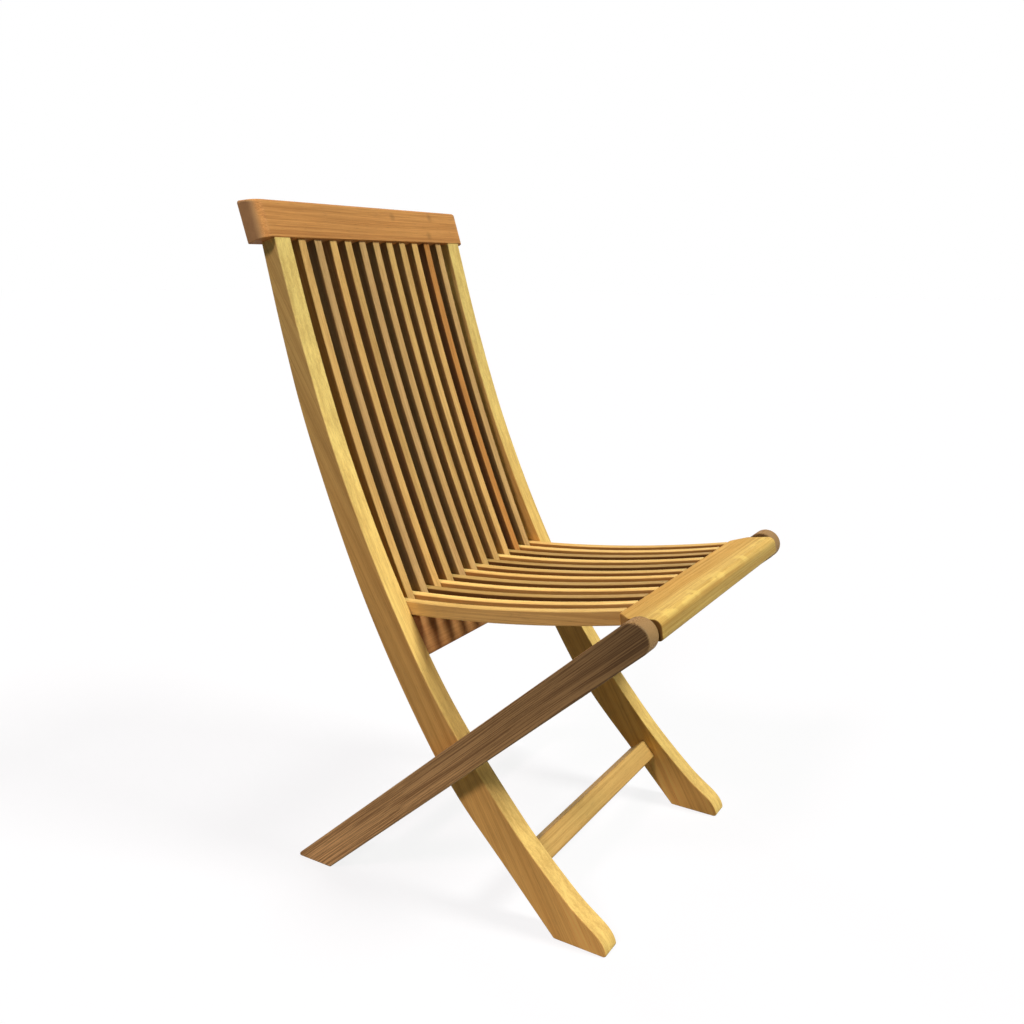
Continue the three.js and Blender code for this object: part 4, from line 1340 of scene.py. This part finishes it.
def make_floor():
    """A level square under the chair. It is white where it is seen, and reflects little light
    elsewhere. White of its own is mixed into what it shows, so the shadow is light."""
    half = FLOOR_HALF_WIDTH
    corners = [(-half, -half, 0), (half, -half, 0), (half, half, 0), (-half, half, 0)]
    mesh = bpy.data.meshes.new("floor")
    mesh.from_pydata(corners, [], [(0, 1, 2, 3)])
    material = bpy.data.materials.new("pale_floor")
    recipe = Recipe(material)
    seen = seen_rays(recipe)
    tint = recipe.mixed(seen, FLOOR_COLOUR, FLOOR_SEEN_COLOUR)
    matt = recipe.add("ShaderNodeBsdfDiffuse", {"Color": tint})
    white = recipe.add("ShaderNodeEmission", {"Color": (1, 1, 1, 1), "Strength": 1.0})
    share = recipe.times(seen, FLOOR_WHITE_SHARE)
    recipe.finish(recipe.add("ShaderNodeMixShader", {0: share, 1: matt, 2: white}))
    mesh.materials.append(material)
    floor = bpy.data.objects.new("floor", mesh)
    bpy.context.scene.collection.objects.link(floor)


def make_sky(strength):
    """Even light from all round, seen as white."""
    world = bpy.data.worlds.new("studio_sky")
    bpy.context.scene.world = world
    recipe = Recipe(world)
    soft = recipe.add("ShaderNodeBackground", {"Color": (1, 1, 1, 1), "Strength": strength})
    white = recipe.add("ShaderNodeBackground", {"Color": (1, 1, 1, 1), "Strength": 1.0})
    mix = recipe.add("ShaderNodeMixShader", {0: seen_rays(recipe), 1: soft, 2: white})
    recipe.finish(mix, "ShaderNodeOutputWorld")


def add_light(name, kind, place, power):
    """A light at a place, turned so that it shines at the middle of the floor."""
    light = bpy.data.lights.new(name, kind)
    light.energy = power
    lamp = bpy.data.objects.new(name, light)
    back = unit(np.array(place))
    side = unit(np.cross(UP, back))
    lamp.matrix_world = placed(side, np.cross(back, side), back, np.array(place))
    lamp.visible_camera = False
    bpy.context.scene.collection.objects.link(lamp)
    return light


def placed(side, up, back, location):
    """The matrix whose columns are three directions and a place."""
    matrix = np.eye(4)
    matrix[:3] = np.stack([side, up, back, location], axis=1)
    return Matrix(matrix.tolist())


def make_camera():
    """A camera turned from straight ahead by its azimuth, down by its pitch, round by its roll."""
    azimuth, pitch, roll = np.radians([CAMERA_AZIMUTH, CAMERA_PITCH, CAMERA_ROLL])
    level = np.array([np.cos(azimuth), np.sin(azimuth), 0.0])
    away = np.array([-np.sin(azimuth), np.cos(azimuth), 0.0])
    ahead = away * np.cos(pitch) - UP * np.sin(pitch)
    upward = np.cross(level, ahead)
    side = level * np.cos(roll) + upward * np.sin(roll)
    data = bpy.data.cameras.new("camera")
    data.sensor_width = CAMERA_SENSOR
    data.lens = CAMERA_LENS
    data.clip_start, data.clip_end = CAMERA_REACH
    camera = bpy.data.objects.new("camera", data)
    camera.matrix_world = placed(side, np.cross(side, ahead), -ahead, np.array(CAMERA_PLACE))
    bpy.context.scene.collection.objects.link(camera)
    bpy.context.scene.camera = camera


class FOLDING_CHAIR_PT_panel(bpy.types.Panel):
    """Lists the pieces of the chair and the stage"""

    bl_idname = "FOLDING_CHAIR_PT_panel"
    bl_label = "Folding Chair"
    bl_space_type = "VIEW_3D"
    bl_region_type = "UI"
    bl_category = "Folding Chair"

    def draw(self, context):
        for group in (sizes(), colours()):
            box = self.layout.box()
            for name in group.__annotations__:
                box.prop(group, name)
        for operator in OPERATORS:
            self.layout.operator(operator.bl_idname)


OPERATORS = (
    FOLDING_CHAIR_OT_stiles,
    FOLDING_CHAIR_OT_crest_rail,
    FOLDING_CHAIR_OT_back_slats,
    FOLDING_CHAIR_OT_rails,
    FOLDING_CHAIR_OT_rear_legs,
    FOLDING_CHAIR_OT_seat_rail,
    FOLDING_CHAIR_OT_seat_slats,
    FOLDING_CHAIR_OT_fittings,
    FOLDING_CHAIR_OT_stage,
)
CLASSES = (FoldingChairSizes, FoldingChairColours, *OPERATORS, FOLDING_CHAIR_PT_panel)


def register():
    """Makes the operators, the panel and the user's values known to Blender."""
    for made in CLASSES:
        bpy.utils.register_class(made)
    bpy.types.Scene.folding_chair_sizes = PointerProperty(type=FoldingChairSizes)
    bpy.types.Scene.folding_chair_colours = PointerProperty(type=FoldingChairColours)


def unregister():
    """Takes back what register did."""
    del bpy.types.Scene.folding_chair_colours
    del bpy.types.Scene.folding_chair_sizes
    for made in reversed(CLASSES):
        bpy.utils.unregister_class(made)


def main():
    """Makes every piece and the stage."""
    register()
    bpy.ops.folding_chair.stiles()
    bpy.ops.folding_chair.crest_rail()
    bpy.ops.folding_chair.back_slats()
    bpy.ops.folding_chair.rails()
    bpy.ops.folding_chair.rear_legs()
    bpy.ops.folding_chair.seat_rail()
    bpy.ops.folding_chair.seat_slats()
    bpy.ops.folding_chair.fittings()
    bpy.ops.folding_chair.stage()


if __name__ == "__main__":
    main()
